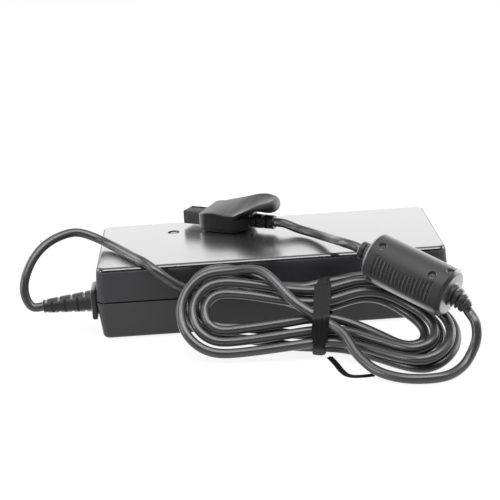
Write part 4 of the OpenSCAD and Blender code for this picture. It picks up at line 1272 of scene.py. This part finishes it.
@dataclass
class Case:
    """Both shells of the case, the seam between them and the status light."""

    length: float = 133.85
    width: float = 58.4
    height: float = 28.7
    base_z: float = 0.6
    seam_z: float = 15.4  # Height of the seam
    wall: float = 2.2
    corner: float = 4.5
    edge: float = 1.6
    draft_top: float = 1.0  # How far the upper shell's sides lean in
    draft_bottom: float = 1.75  # How far the lower shell's sides lean in
    seam_gap: float = 0.55
    seam_depth: float = 1.3
    lip: float = 0.22  # Rounding of the groove's edges
    level_in: float = 0.8  # Width of the level rim of each flat face
    inlet_half: float = 10.1
    inlet_z: Pair = (6.5, 22.7)
    boot_y: Pair = (-23.6, -15.4)
    boot_z: Pair = (9.5, 17.7)
    # How far the tools for the openings reach in and out of the ends, and down and up.
    inlet_reach: Pair = (8, 2)
    boot_reach: Pair = (7, 1)
    hole_reach: Pair = (4, 2)
    light: Pair = (-36.925, 13.5)
    ring_d: float = 4.8  # The sunk ring round the light
    ring_depth: float = 0.5
    lens_d: float = 3.0
    lens_fit: float = 0.2
    guide_z: float = 10.4  # Lower end of the light guide
    flange_r: float = 3.0
    flange_down: Pair = (3.4, 2.25)  # The flange's two faces, below the lid
    foot_d: float = 8.2
    well_z: Pair = (-0.4, 1.0)  # Heights of the wells for the feet
    foot_pitch: Pair = (108.05, 38.0)

    def ring(self, inset: float, z: float) -> Ring:
        """Draw one ring of a shell.

        Args:
            inset: Distance in from the seam's outline.
            z: Height of the ring.

        Returns:
            The ring.
        """
        sharpest, steps = 0.5, 10
        outline = rounded_rect(self.length - 2 * inset, self.width - 2 * inset,
                               max(sharpest, self.corner - inset), steps)
        return [(x, y, z) for x, y in outline]

    def shell_rings(self, up: bool) -> list[Ring]:
        """Draw the rings of one shell, from its inner floor out and back over the outside.

        Args:
            up: True for the upper shell.

        Returns:
            The rings in order.
        """
        sign = 1 if up else -1
        far = self.height if up else self.base_z
        draft = self.draft_top if up else self.draft_bottom
        near = self.seam_z + sign * self.seam_gap / 2
        inner = far - sign * self.wall
        stations = [(self.wall + draft + 2, inner), (self.wall + draft, inner),
                    (self.wall, self.seam_z), (self.seam_depth, self.seam_z),
                    (self.seam_depth, near), (self.lip, near)]
        for k in range(5):
            a = math.pi / 2 * k / 4
            stations.append((self.lip * (1 - math.sin(a)),
                             near + sign * self.lip * (1 - math.cos(a))))
        wall_end = far - sign * self.edge
        for k in range(1, 5):
            z = mix(near, wall_end, k / 4)
            stations.append((draft * (z - near) / (far - near), z))
        at_edge = stations[-1][0]
        for k in range(1, 10):
            a = math.pi / 2 * k / 9
            stations.append((at_edge + self.edge * (1 - math.cos(a)),
                             wall_end + sign * self.edge * math.sin(a)))
        stations.append((at_edge + self.edge + self.level_in, far))
        return [self.ring(inset, z) for inset, z in stations]

    def shell(self, name: str, up: bool) -> bpy.types.Object:
        """Make one shell with the openings at its ends.

        Args:
            name: Name of the piece.
            up: True for the upper shell.

        Returns:
            The shell.
        """
        piece = loft(name, [self.shell_rings(up)], 30)
        end, half = self.length / 2, self.inlet_half
        inlet_in, inlet_out = self.inlet_reach
        boot_in, boot_out = self.boot_reach
        cut(piece, block("tool_inlet", (end - inlet_in, -half, self.inlet_z[0]),
                         (end + inlet_out, half, self.inlet_z[1])))
        cut(piece, block("tool_boot", (-end - boot_out, self.boot_y[0], self.boot_z[0]),
                         (-end + boot_in, self.boot_y[1], self.boot_z[1])))
        if up:
            x, y = self.light
            down, over = self.hole_reach
            cut(piece, rod("tool_ring", (x, y, self.height - self.ring_depth), self.ring_d,
                           over))
            cut(piece, rod("tool_hole", (x, y, self.height - down),
                           self.lens_d + self.lens_fit, down + over))
        else:
            x, y = (pitch / 2 for pitch in self.foot_pitch)
            low, high = self.well_z
            for at in ((-x, -y, low), (-x, y, low), (x, -y, low), (x, y, low)):
                cut(piece, rod("tool_foot", at, self.foot_d, high - low))
        even_light(piece)
        CASE.dress(piece)
        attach(piece, "root")
        return piece

    def lens(self) -> bpy.types.Object:
        """Make the light guide with its flange and low dome.

        Returns:
            The light guide.
        """
        r, axis = self.lens_d / 2, 0.02
        top = self.height - 0.02
        low, high = (self.height - down for down in self.flange_down)
        profile = [(self.guide_z, axis, 0), (self.guide_z, r - 0.2, 0),
                   (self.guide_z + 0.2, r, 0), (low, r, 0), (low, self.flange_r, 0),
                   (high, self.flange_r, 0), (high, r, 0), (top - 0.35, r, 0.2),
                   (top - 0.1, r * 0.72, 0.3), (top, axis, 0)]
        rings = [circle(*self.light, z, rad, 40) for z, rad in eased_profile(profile, 3)]
        piece = loft("light_lens", [rings], 35)
        LENS.dress(piece)
        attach(piece, "root")
        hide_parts("led_lens")
        return piece

    def build(self) -> list[bpy.types.Object]:
        """Make the shells and the light.

        Returns:
            The lid, the tub and the light guide.
        """
        upper, lower = self.shell("case_lid", True), self.shell("case_tub", False)
        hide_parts("upper_shell")
        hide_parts("lower_shell")
        return [upper, lower, self.lens()]


# -------------------------------------------------------------------- boot


@dataclass
class SlottedSleeve:
    """A tapered sleeve whose slots turn by a quarter from one to the next."""

    root_r: float
    tip_r: float
    length: float
    slots: tuple[float, ...]  # Place of each slot's middle
    slot: float
    # Half of what is left between the two cuts of a slot, as a share of the radius.
    web: float = 0.68
    around: int = 96
    bore: float = 1.78
    tip_round: float = 0.35
    side_out: float = 0.1  # How far a slot's side starts outside it
    side: float = 0.14  # Width of that side

    def depth(self, s: float) -> tuple[float, int]:
        """Find how far into a slot a place lies.

        Args:
            s: Place along the sleeve.

        Returns:
            A share from 0, outside, to 1, inside, and which slot it is.
        """
        for i, at in enumerate(self.slots):
            gap = self.slot / 2 - abs(s - at) + self.side_out
            if gap > 0:
                return smoothstep(gap / self.side), i
        return 0.0, 0

    def rings(self, place: Callable[[float], tuple]) -> list[Ring]:
        """Draw the sleeve's rings.

        Args:
            place: Gives the centre and two directions across at a distance along.

        Returns:
            The rings, from root to tip.
        """
        stations = set(np.linspace(0, self.length - self.tip_round, 22))
        for at in self.slots:
            for off in (0.12, 0.1, 0.07, 0.03, 0.0, -0.04):
                stations |= {at - self.slot / 2 - off, at + self.slot / 2 + off}
        runs: list[tuple[float, Optional[float]]] = [(s, None) for s in sorted(stations)]
        for k in range(1, 6):
            a = math.pi / 2 * k / 5
            runs.append((self.length - self.tip_round * (1 - math.sin(a)),
                         self.tip_r - self.tip_round * (1 - math.cos(a))))
        runs.append((self.length, self.bore))
        rings = []
        for s, fixed in runs:
            centre, e1, e2 = place(s)
            base = mix(self.root_r, self.tip_r, s / self.length)
            depth, index = self.depth(s)
            ring = []
            for k in range(self.around):
                a = 2 * math.pi * k / self.around
                r = base if fixed is None else fixed
                if fixed is None and depth > 0:
                    turned = a + math.pi / 2 * (index % 2)
                    face = self.web * base / max(1e-6, abs(math.cos(turned)))
                    r = mix(base, min(base, face), depth)
                ring.append(tuple(centre + r * (math.cos(a) * e1 + math.sin(a) * e2)))
            rings.append(ring)
        return rings


@dataclass
class CordBoot:
    """The strain relief at the case: flange, neck and slotted taper."""

    case_end: float = -66.925
    y: float = -19.5
    z: float = 13.6
    flange: float = 12.0
    flange_t: float = 2.0
    # Distance along and growth of each step of its rounded edges.
    flange_edge: tuple = ((0.0, -0.45), (0.13, -0.13), (0.45, 0.0), (1.3, 0.0), (1.75, -0.2),
                          (1.95, -0.5), (2.0, -0.9))
    flange_round: float = 1.2
    neck: float = 8.0
    neck_end: float = -62.775
    inner: float = 10.8  # Size of the flange inside the case
    inner_t: float = 1.6
    root_d: float = 8.4
    tip_d: float = 5.2
    length: float = 18.7
    count: int = 7
    slot: float = 0.9
    slots_from: float = 1.4  # Start of the first slot's pitch
    slots_short: float = 1.6  # What the pitches together leave of the length
    sunk: float = 0.4  # How far the taper starts inside the flange
    droop: float = 3.0

    def square(self, x: float, size: float, radius: float, steps: int) -> Ring:
        """Draw an upright square about the boot's middle.

        Args:
            x: Its place along.
            size: Its size.
            radius: Rounding of its corners.
            steps: Steps in each corner.

        Returns:
            The ring.
        """
        return [(x, self.y + a, self.z + b) for a, b in rounded_rect(size, size, radius, steps)]

    def taper(self) -> list[Ring]:
        """Draw the slotted taper.

        Returns:
            The rings, from the flange to the tip.
        """
        a = math.radians(self.droop)
        along = np.array([-math.cos(a), 0, -math.sin(a)])
        side, top = np.array([0, 1.0, 0]), np.array([-math.sin(a), 0, math.cos(a)])
        start = np.array([self.case_end - self.flange_t, self.y, self.z])
        pitch = (self.length - self.slots_short) / self.count
        slots = tuple(self.slots_from + pitch * (i + 0.55) for i in range(self.count))
        sleeve = SlottedSleeve(self.root_d / 2, self.tip_d / 2, self.length, slots, self.slot)
        return sleeve.rings(lambda s: (start + along * (s or -self.sunk), top, side))

    def build(self) -> bpy.types.Object:
        """Make the boot and put it in place of the plain one.

        Returns:
            The boot.
        """
        flange = [self.square(self.case_end - s, self.flange + 2 * grow,
                              self.flange_round + grow, 6) for s, grow in self.flange_edge]
        neck = [self.square(x, size, 0.5, 4) for x, size in (
            (self.case_end - 0.3, self.neck), (self.neck_end, self.neck),
            (self.neck_end, self.inner), (self.neck_end + self.inner_t, self.inner))]
        piece = loft("cord_boot", [flange, neck, self.taper()], 32)
        MOULD.dress(piece)
        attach(piece, "root")
        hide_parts("dc_boot")
        return piece


# -------------------------------------------------------------------- plug


@dataclass
class FlatPlug:
    """The flat plug: metal nose, bulged grip, dished thumb rest and relief.

    Its own frame has x from the nose to the cord, y to the rear and z up.
    """

    at: Triple = (-30.8, 23.8, 28.7)
    yaw: float = -30.0
    nose: Triple = (6.0, 7.8, 5.4)  # Length outside the grip, width and height
    nose_z: float = 4.1
    nose_wall: float = 0.7
    nose_depth: float = 7.0
    nose_hidden: float = 3.8  # Length inside the grip
    notch_x: Pair = (0.5, 6.8)
    notch_y: Pair = (1.5, 3.0)
    notch_z: Pair = (-1.2, 0.6)  # Down from the nose's top, and the tool's height over it
    # Place, half width, underside, top at the rear and the front, rounding below and above.
    sections: tuple = (
        (8.9, 6.3, 1.3, 7.8, 6.9, 0.8, 0.4), (9.05, 6.7, 1.0, 8.2, 7.1, 1.0, 0.5),
        (9.5, 7.1, 0.8, 8.6, 7.3, 1.2, 0.5), (10.5, 7.6, 0.4, 8.85, 7.5, 1.6, 0.5),
        (11.8, 8.05, 0.08, 9.0, 7.85, 2.0, 0.5), (13.4, 8.35, 0.05, 9.1, 8.1, 2.2, 0.5),
        (15, 8.55, 0.05, 9.45, 8.2, 2.3, 0.5), (18.2, 8.6, 0.05, 10.0, 8.0, 2.3, 0.5),
        (21.5, 8.6, 0.05, 10.5, 7.5, 2.3, 0.5), (24.4, 8.5, 0.1, 10.2, 7.0, 2.3, 0.5),
        (26.2, 7.9, 0.5, 9.2, 6.9, 2.2, 0.8), (27.6, 6.9, 1.1, 8.2, 7.0, 2.0, 1.2),
        (28.8, 5.6, 1.6, 7.6, 7.0, 1.8, 1.4), (29.7, 4.2, 2.0, 7.2, 6.8, 1.5, 1.4),
        (29.9, 3.4, 2.3, 6.8, 6.6, 1.2, 1.2))
    hub_x: float = 28.0  # Middle of the thumb rest's rings
    oval_x: float = 31.2  # Where its outline turns into an oval
    half_w: float = 8.6
    tip_x: float = 41.4
    blade_x: float = 12.8
    # Along the rim: places, and heights of the crest at the rear and the front.
    crest: tuple = ((12.8, 15, 18.2, 21.5, 24.6, 28, 31.5, 34.8, 38.3, 40.4, 41.5),
                    (9.1, 9.5, 10.2, 11.0, 11.8, 12.75, 13.4, 13.7, 13.7, 13.5, 13.3),
                    (8.1, 8.25, 8.05, 7.65, 7.7, 9.1, 10.7, 11.9, 12.7, 13.0, 13.2))
    # Heights of the lower edge there, at the rear and the front.
    under: tuple = ((5, 5, 5, 5, 6.0, 8.9, 10.6, 11.0, 10.2, 9.0, 8.4),
                    (5, 5, 5, 5, 5.6, 8.2, 9.5, 10.1, 9.6, 8.8, 8.4))
    oval_power: Pair = (2.3, 2.2)  # Powers of the oval, along and across
    sides_out: float = 0.04  # How far the straight sides stand outside the oval's half width
    narrower: float = 0.9  # How far each side comes in towards the nose
    narrow_x: float = 17.5  # Where the rest has its full width
    narrow_run: float = 7.0  # Length over which it comes in
    rim_round: Pair = (0.45, 2.3)  # Rounding of the rim towards the nose and at the far end
    rim_x: float = 25.0  # Where the rounding starts to grow
    rim_run: float = 13.0
    dish: float = 1.9  # Depth of the thumb rest's hollow
    dish_power: float = 2.2
    dish_x: float = 21.5
    dish_run: float = 10.0  # Length over which it deepens
    relief: Triple = (27.0, 12.6, 4.2)  # Start, length and height
    relief_r: Pair = (3.0, 2.7)  # At the root and the tip
    slot_at: float = 3.6  # The first slot
    slot_pitch: float = 2.15
    slots: int = 4
    slot: float = 0.9
    web: float = 0.7  # Half of what a slot leaves, as a share of the radius

    def world(self, x: float, y: float, z: float) -> Triple:
        """Carry a point from the plug's own frame to the whole's.

        Args:
            x: Place along the plug.
            y: Place across, towards the rear.
            z: Height over the lid.

        Returns:
            The point.
        """
        a = math.radians(self.yaw)
        return (self.at[0] + x * math.cos(a) - y * math.sin(a),
                self.at[1] + x * math.sin(a) + y * math.cos(a), self.at[2] + z)

    def section(self, x: float, half: float, z0: float, rear: float, front: float, low: float,
                high: float) -> Ring:
        """Draw one upright section whose top may slope from rear to front.

        Args:
            x: Place along the plug.
            half: Half width.
            z0: Height of the underside.
            rear: Height of the top at the rear side.
            front: Height of the top at the front side.
            low: Rounding of the lower corners.
            high: Rounding of the upper corners.

        Returns:
            The ring.
        """
        points = []
        steps = 8
        for quarter, (sy, zc, r) in enumerate(((1, rear - high, high), (-1, front - high, high),
                                               (-1, z0 + low, low), (1, z0 + low, low))):
            for i in range(steps + 1):
                a = math.radians(90 * quarter + 90 * i / steps)
                points.append(self.world(x, sy * (half - r) + r * math.cos(a),
                                         zc + r * math.sin(a)))
        return points

    def grip(self) -> list[Ring]:
        """Draw the bulged body.

        Returns:
            The rings, from the nose to the relief.
        """
        place, *columns = np.array(self.sections).T
        xs = np.append(np.linspace(place[:-1], place[1:], 5, endpoint=False).T, place[-1])
        return [self.section(x, *(key_line(x, place, column) for column in columns))
                for x in xs]

    def rim(self, turn: float) -> tuple[float, float, float, float]:
        """Find the rim of the thumb rest in one direction from its hub.

        Args:
            turn: Direction from the hub, counted from the cord's end towards the rear.

        Returns:
            Place along, place across, height of the crest and height of the lower edge.
        """
        c, s = math.cos(turn), math.sin(turn)
        low, high = 0.0, 40.0
        for _ in range(40):
            r = (low + high) / 2
            x, y = self.hub_x + r * c, r * s
            if x > self.oval_x:
                along, across = self.oval_power
                far = ((x - self.oval_x) / (self.tip_x - self.oval_x)) ** along
                inside = far + abs(y / self.half_w) ** across < 1
            else:
                half = self.half_w + self.sides_out - self.narrower * smoothstep(
                    (self.narrow_x - x) / self.narrow_run)
                inside = x > self.blade_x and abs(y) < half
            low, high = (r, high) if inside else (low, r)
        x, y = self.hub_x + low * c, low * s
        return x, y, self.height(x, y, *self.crest[1:]), self.height(x, y, *self.under)

    def height(self, x: float, y: float, rear: Sequence[float], front: Sequence[float]) -> float:
        """Read a height between the rear side's keys and the front side's.

        Args:
            x: Place along the plug.
            y: Place across it.
            rear: Heights of the keys at the rear.
            front: Heights of the keys at the front.

        Returns:
            The height.
        """
        places = np.array(self.crest[0])
        share = min(1.0, max(0.0, (y / self.half_w + 1) / 2))
        return mix(key_line(x, places, np.array(front)), key_line(x, places, np.array(rear)),
                   share)

    def blade(self) -> list[Ring]:
        """Draw the dished thumb rest, from its underside round the rim to the dish.

        Returns:
            The rings.
        """
        around, rounds, hollows = 120, 6, 16
        middle_z, inner_shares, taller = 8.6, (0.02, 0.5), 1.05
        spokes = [self.rim(2 * math.pi * k / around) for k in range(around)]
        bends = []
        for x, _, crest, under in spokes:
            out = mix(*self.rim_round, smoothstep((x - self.rim_x) / self.rim_run))
            bends.append((out, min(out * taller, (crest - under) / 2)))

        def ring(place: Callable[[int], Triple]) -> Ring:
            """Draw a ring from the place of each spoke's point."""
            return [self.world(*place(k)) for k in range(around)]

        def inward(k: int, share: float) -> Pair:
            """Find the place at a share of a spoke."""
            x, y = spokes[k][:2]
            return self.hub_x + (x - self.hub_x) * share, y * share

        def inset(k: int, by: float) -> Pair:
            """Find the place on a spoke by a distance in from the rim."""
            x, y = spokes[k][:2]
            return inward(k, max(0.0, 1 - by / math.hypot(x - self.hub_x, y)))

        def hollow(k: int, t: float) -> Triple:
            """Find the dish's surface at a share of the way out to the rounded rim.

            Args:
                k: Index of the spoke.
                t: The share.

            Returns:
                The point, in the plug's own frame.
            """
            x, y = spokes[k][:2]
            far = math.hypot(x - self.hub_x, y)
            x, y = inward(k, (far - bends[k][0]) * t / far)
            deep = smoothstep((x - self.dish_x) / self.dish_run) * (1 - t ** self.dish_power)
            return x, y, self.height(x, y, *self.crest[1:]) - self.dish * deep

        rings = [ring(lambda k: (*inward(k, share), mix(middle_z, spokes[k][3], share)))
                 for share in inner_shares]
        quarter = [math.pi / 2 * i / rounds for i in range(rounds + 1)]
        rings += [ring(lambda k: (*inset(k, bends[k][0] * (1 - math.sin(a))),
                                  spokes[k][3] + bends[k][1] * (1 - math.cos(a))))
                  for a in quarter]
        rings += [ring(lambda k: (*inset(k, bends[k][0] * (1 - math.cos(a))),
                                  spokes[k][2] - bends[k][1] * (1 - math.sin(a))))
                  for a in quarter]
        return rings + [ring(lambda k: hollow(k, 1 - i / (hollows + 0.5)))
                        for i in range(1, hollows + 1)]

    def tail(self) -> list[Ring]:
        """Draw the slotted relief behind the body.

        Returns:
            The rings, from root to tip.
        """
        start, length, z = self.relief
        slots = tuple(self.slot_at + i * self.slot_pitch for i in range(self.slots))
        sleeve = SlottedSleeve(*self.relief_r, length, slots, self.slot, self.web, around=64)
        turn = math.radians(self.yaw)
        side, top = np.array([-math.sin(turn), math.cos(turn), 0]), np.array([0, 0, 1.0])
        return sleeve.rings(lambda s: (np.array(self.world(start + s, 0, z)), top, side))

    def shell(self) -> bpy.types.Object:
        """Make the metal nose with its mouth and the notch on its top.

        Returns:
            The nose.
        """
        length, width, high = self.nose
        z0, z1, t = self.nose_z - high / 2, self.nose_z + high / 2, self.nose_wall
        outer = [self.section(x, width / 2 - g, z0 + g, z1 - g, z1 - g, 0.5, 0.5) for x, g in
                 ((0, 0.22), (0.08, 0.08), (0.22, 0), (length + self.nose_hidden, 0))]
        inner = [self.section(x, width / 2 - t + g, z0 + t - g, z1 - t + g, z1 - t + g, 0.3, 0.3)
                 for x, g in ((self.nose_depth, 0), (0.2, 0), (0, 0.15))]
        piece = loft("plug_shell", [inner + outer], 35)
        near, far = zip(self.notch_x, self.notch_y, (z1 + z for z in self.notch_z))
        cut(piece, block("tool_notch", near, far, self.world))
        NICKEL.dress(piece)
        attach(piece, "root")
        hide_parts("plug_nose")
        return piece

    def build(self) -> list[bpy.types.Object]:
        """Make the plug's grip and nose.

        Returns:
            The grip and the nose.
        """
        grip = loft("plug_grip", [self.grip(), self.blade(), self.tail()], 40)
        SHADED_GRIP.dress(grip)
        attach(grip, "root")
        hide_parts("plug_body")
        return [grip, self.shell()]


# ------------------------------------------------------------------- inside


@dataclass
class KeptSolids:
    """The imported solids: those that stay as they are, and those that a piece stands for."""

    finishes: dict[str, Finish] = field(default_factory=lambda: {
        "rubber_feet": FOOT, "led_lamp": LENS, "ac_inlet": INLET, "inlet_pins": BRASS,
        "circuit_board": BOARD, "insulating_sheet": SHEET, "fuse": EPOXY, "thermistor": EPOXY,
        "x_capacitor": FILM, "line_choke_core": FERRITE, "line_choke_windings": COPPER,
        "bridge_rectifier": EPOXY, "bulk_capacitor": SLEEVE, "switching_transistor": EPOXY,
        "primary_heat_sink": SINK, "transformer_core": FERRITE, "transformer_bobbin": EPOXY,
        "transformer_winding": TAPE, "y_capacitors": DISC, "opto_coupler": OPTO,
        "controller_chip": EPOXY, "output_diode": EPOXY, "secondary_heat_sink": SINK,
        "output_capacitors": SLEEVE, "output_choke": COPPER, "output_wires": WIRE,
        "ferrite_core": FERRITE, "plug_insert": EPOXY, "plug_contacts": BRASS,
        "upper_shell": CASE, "lower_shell": CASE, "led_lens": LENS, "dc_boot": MOULD,
        "ferrite_jacket": MOULD, "plug_body": SHADED_GRIP, "plug_nose": NICKEL, "cord_tie": TIE,
        "cord_lead": CORD, "cord_hank": CORD, "cord_loop": CORD, "cord_in_ferrite": CORD,
        "cord_to_plug": CORD})

    def build(self) -> None:
        """Dress each solid."""
        for name, finish in self.finishes.items():
            finish.dress(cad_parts[name])


# ------------------------------------------------------------------- studio


@dataclass(frozen=True)
class Lamp:
    """One soft lamp: its name, its place and size in metres, and its power in watts."""

    name: str
    at: Triple
    size: Pair
    watts: float

    def hang(self) -> None:
        """Hang the lamp so that it points at the object."""
        data = bpy.data.lights.new(self.name, "AREA")
        data.shape, data.energy = "RECTANGLE", self.watts
        data.size, data.size_y = self.size
        lamp = bpy.data.objects.new(self.name, data)
        lamp.location = Vector(self.at)
        lamp.rotation_euler = (-Vector(self.at)).to_track_quat("-Z", "Y").to_euler()
        bpy.context.collection.objects.link(lamp)


@dataclass
class Studio:
    """White floor, graded surround and soft lamps."""

    floor_half: float = 3.0
    floor_z: float = -0.02  # A hair below the object, in millimetres
    floor_tone: float = 0.85  # Grey of its plain surface
    floor_glow: float = 1.03  # Strength to the eye
    shadow_share: float = 0.14  # Share of the plain surface, with its shadows, that the eye sees
    from_front: float = 0.04
    from_rear: float = 1.12
    from_above: float = 0.4  # Share of the surround that is left above
    front_to_rear: Pair = (-0.9, 0.25)  # Where it changes from front to rear
    side_to_top: Pair = (0.45, 0.75)  # Where it changes from the sides to above
    lamps: tuple[Lamp, ...] = (
        Lamp("left_lamp", (-0.9, 0.4, 0.4), (0.7, 0.7), 5.0),
        Lamp("right_lamp", (0.95, 0.3, 0.4), (0.7, 0.7), 5.0),
        Lamp("top_lamp", (0.0, 0.02, 0.95), (1.1, 0.6), 6.0),
        Lamp("front_lamp", (0.1, -0.42, 0.86), (1.3, 0.36), 12.0),
        Lamp("corner_lamp", (-0.85, -0.4, 0.35), (0.14, 0.4), 2.2))

    def floor(self) -> None:
        """Make the floor: white to the eye, with a part of its shadows kept."""
        h, z = self.floor_half / MM, self.floor_z
        piece = mesh_piece("studio_floor", [(-h, -h, z), (h, -h, z), (h, h, z), (-h, h, z)],
                           [(0, 1, 2, 3)])
        made = bpy.data.materials.new("studio_white")
        nodes = Wiring(made)
        matt = nodes.add("ShaderNodeBsdfDiffuse", Color=(self.floor_tone,) * 3 + (1,))
        glow = nodes.add("ShaderNodeEmission", Strength=self.floor_glow)
        path = nodes.add("ShaderNodeLightPath").outputs
        seen = nodes.calculate("MAXIMUM", path["Is Camera Ray"], path["Is Glossy Ray"])
        share = nodes.calculate("MULTIPLY", seen, 1 - self.shadow_share)
        nodes.add("ShaderNodeOutputMaterial", Surface=nodes.blend(
            share, matt.outputs["BSDF"], glow.outputs["Emission"]))
        piece.data.materials.append(made)
        piece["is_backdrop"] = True

    def surround(self) -> None:
        """Make the surround: white to the eye, and graded as a light and in mirrors."""
        made = bpy.data.worlds.new("studio_surround")
        bpy.context.scene.world = made
        nodes = Wiring(made)
        along = nodes.ramp(nodes.axis("Generated", "Y"), *self.front_to_rear, self.from_front,
                           self.from_rear, smooth=True)
        above = nodes.ramp(nodes.axis("Generated", "Z"), *self.side_to_top, 1.0,
                           self.from_above, smooth=True)
        tent = nodes.add("ShaderNodeBackground", Strength=nodes.calculate("MULTIPLY", along, above))
        white = nodes.add("ShaderNodeBackground", Strength=1.0)
        seen = nodes.add("ShaderNodeLightPath").outputs["Is Camera Ray"]
        nodes.add("ShaderNodeOutputWorld", Surface=nodes.blend(
            seen, tent.outputs["Background"], white.outputs["Background"]))

    def build(self) -> None:
        """Lay the floor and light the studio."""
        self.floor()
        self.surround()
        for lamp in self.lamps:
            lamp.hang()


# --------------------------------------------------------------------- main


def corners(box: Optional[tuple]) -> list[list[float]]:
    """Turn a box's two corners into plain lists."""
    return [[float(c) for c in corner] for corner in box] if box else []


def report(*pieces: bpy.types.Object) -> None:
    """Log each finished piece."""
    for piece in pieces:
        LOG.info("%s is in place", piece.name)


def main() -> None:
    """Build each sub-assembly in order and report its pieces."""
    logging.basicConfig(level=logging.INFO, format="%(name)s: %(message)s")
    bpy.context.scene.view_settings.view_transform = "Standard"
    Shot().place()
    output = OutputCord()
    cord, length = output.build()
    report(cord)
    tie = TwistTie().build(output.shape, output.d)
    jacket = FerriteBlock(output.ferrite).build()
    report(tie, jacket)
    report(*Case().build())
    report(CordBoot().build())
    plug = FlatPlug().build()
    report(*plug)
    KeptSolids().build()
    tuple(c * MM for c in output.boot_tip)
    Studio().build()
    bpy.context.view_layer.update()
    {"cad": corners(CAD_BOX), "visual": corners(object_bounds())}


if __name__ == "__main__":
    main()
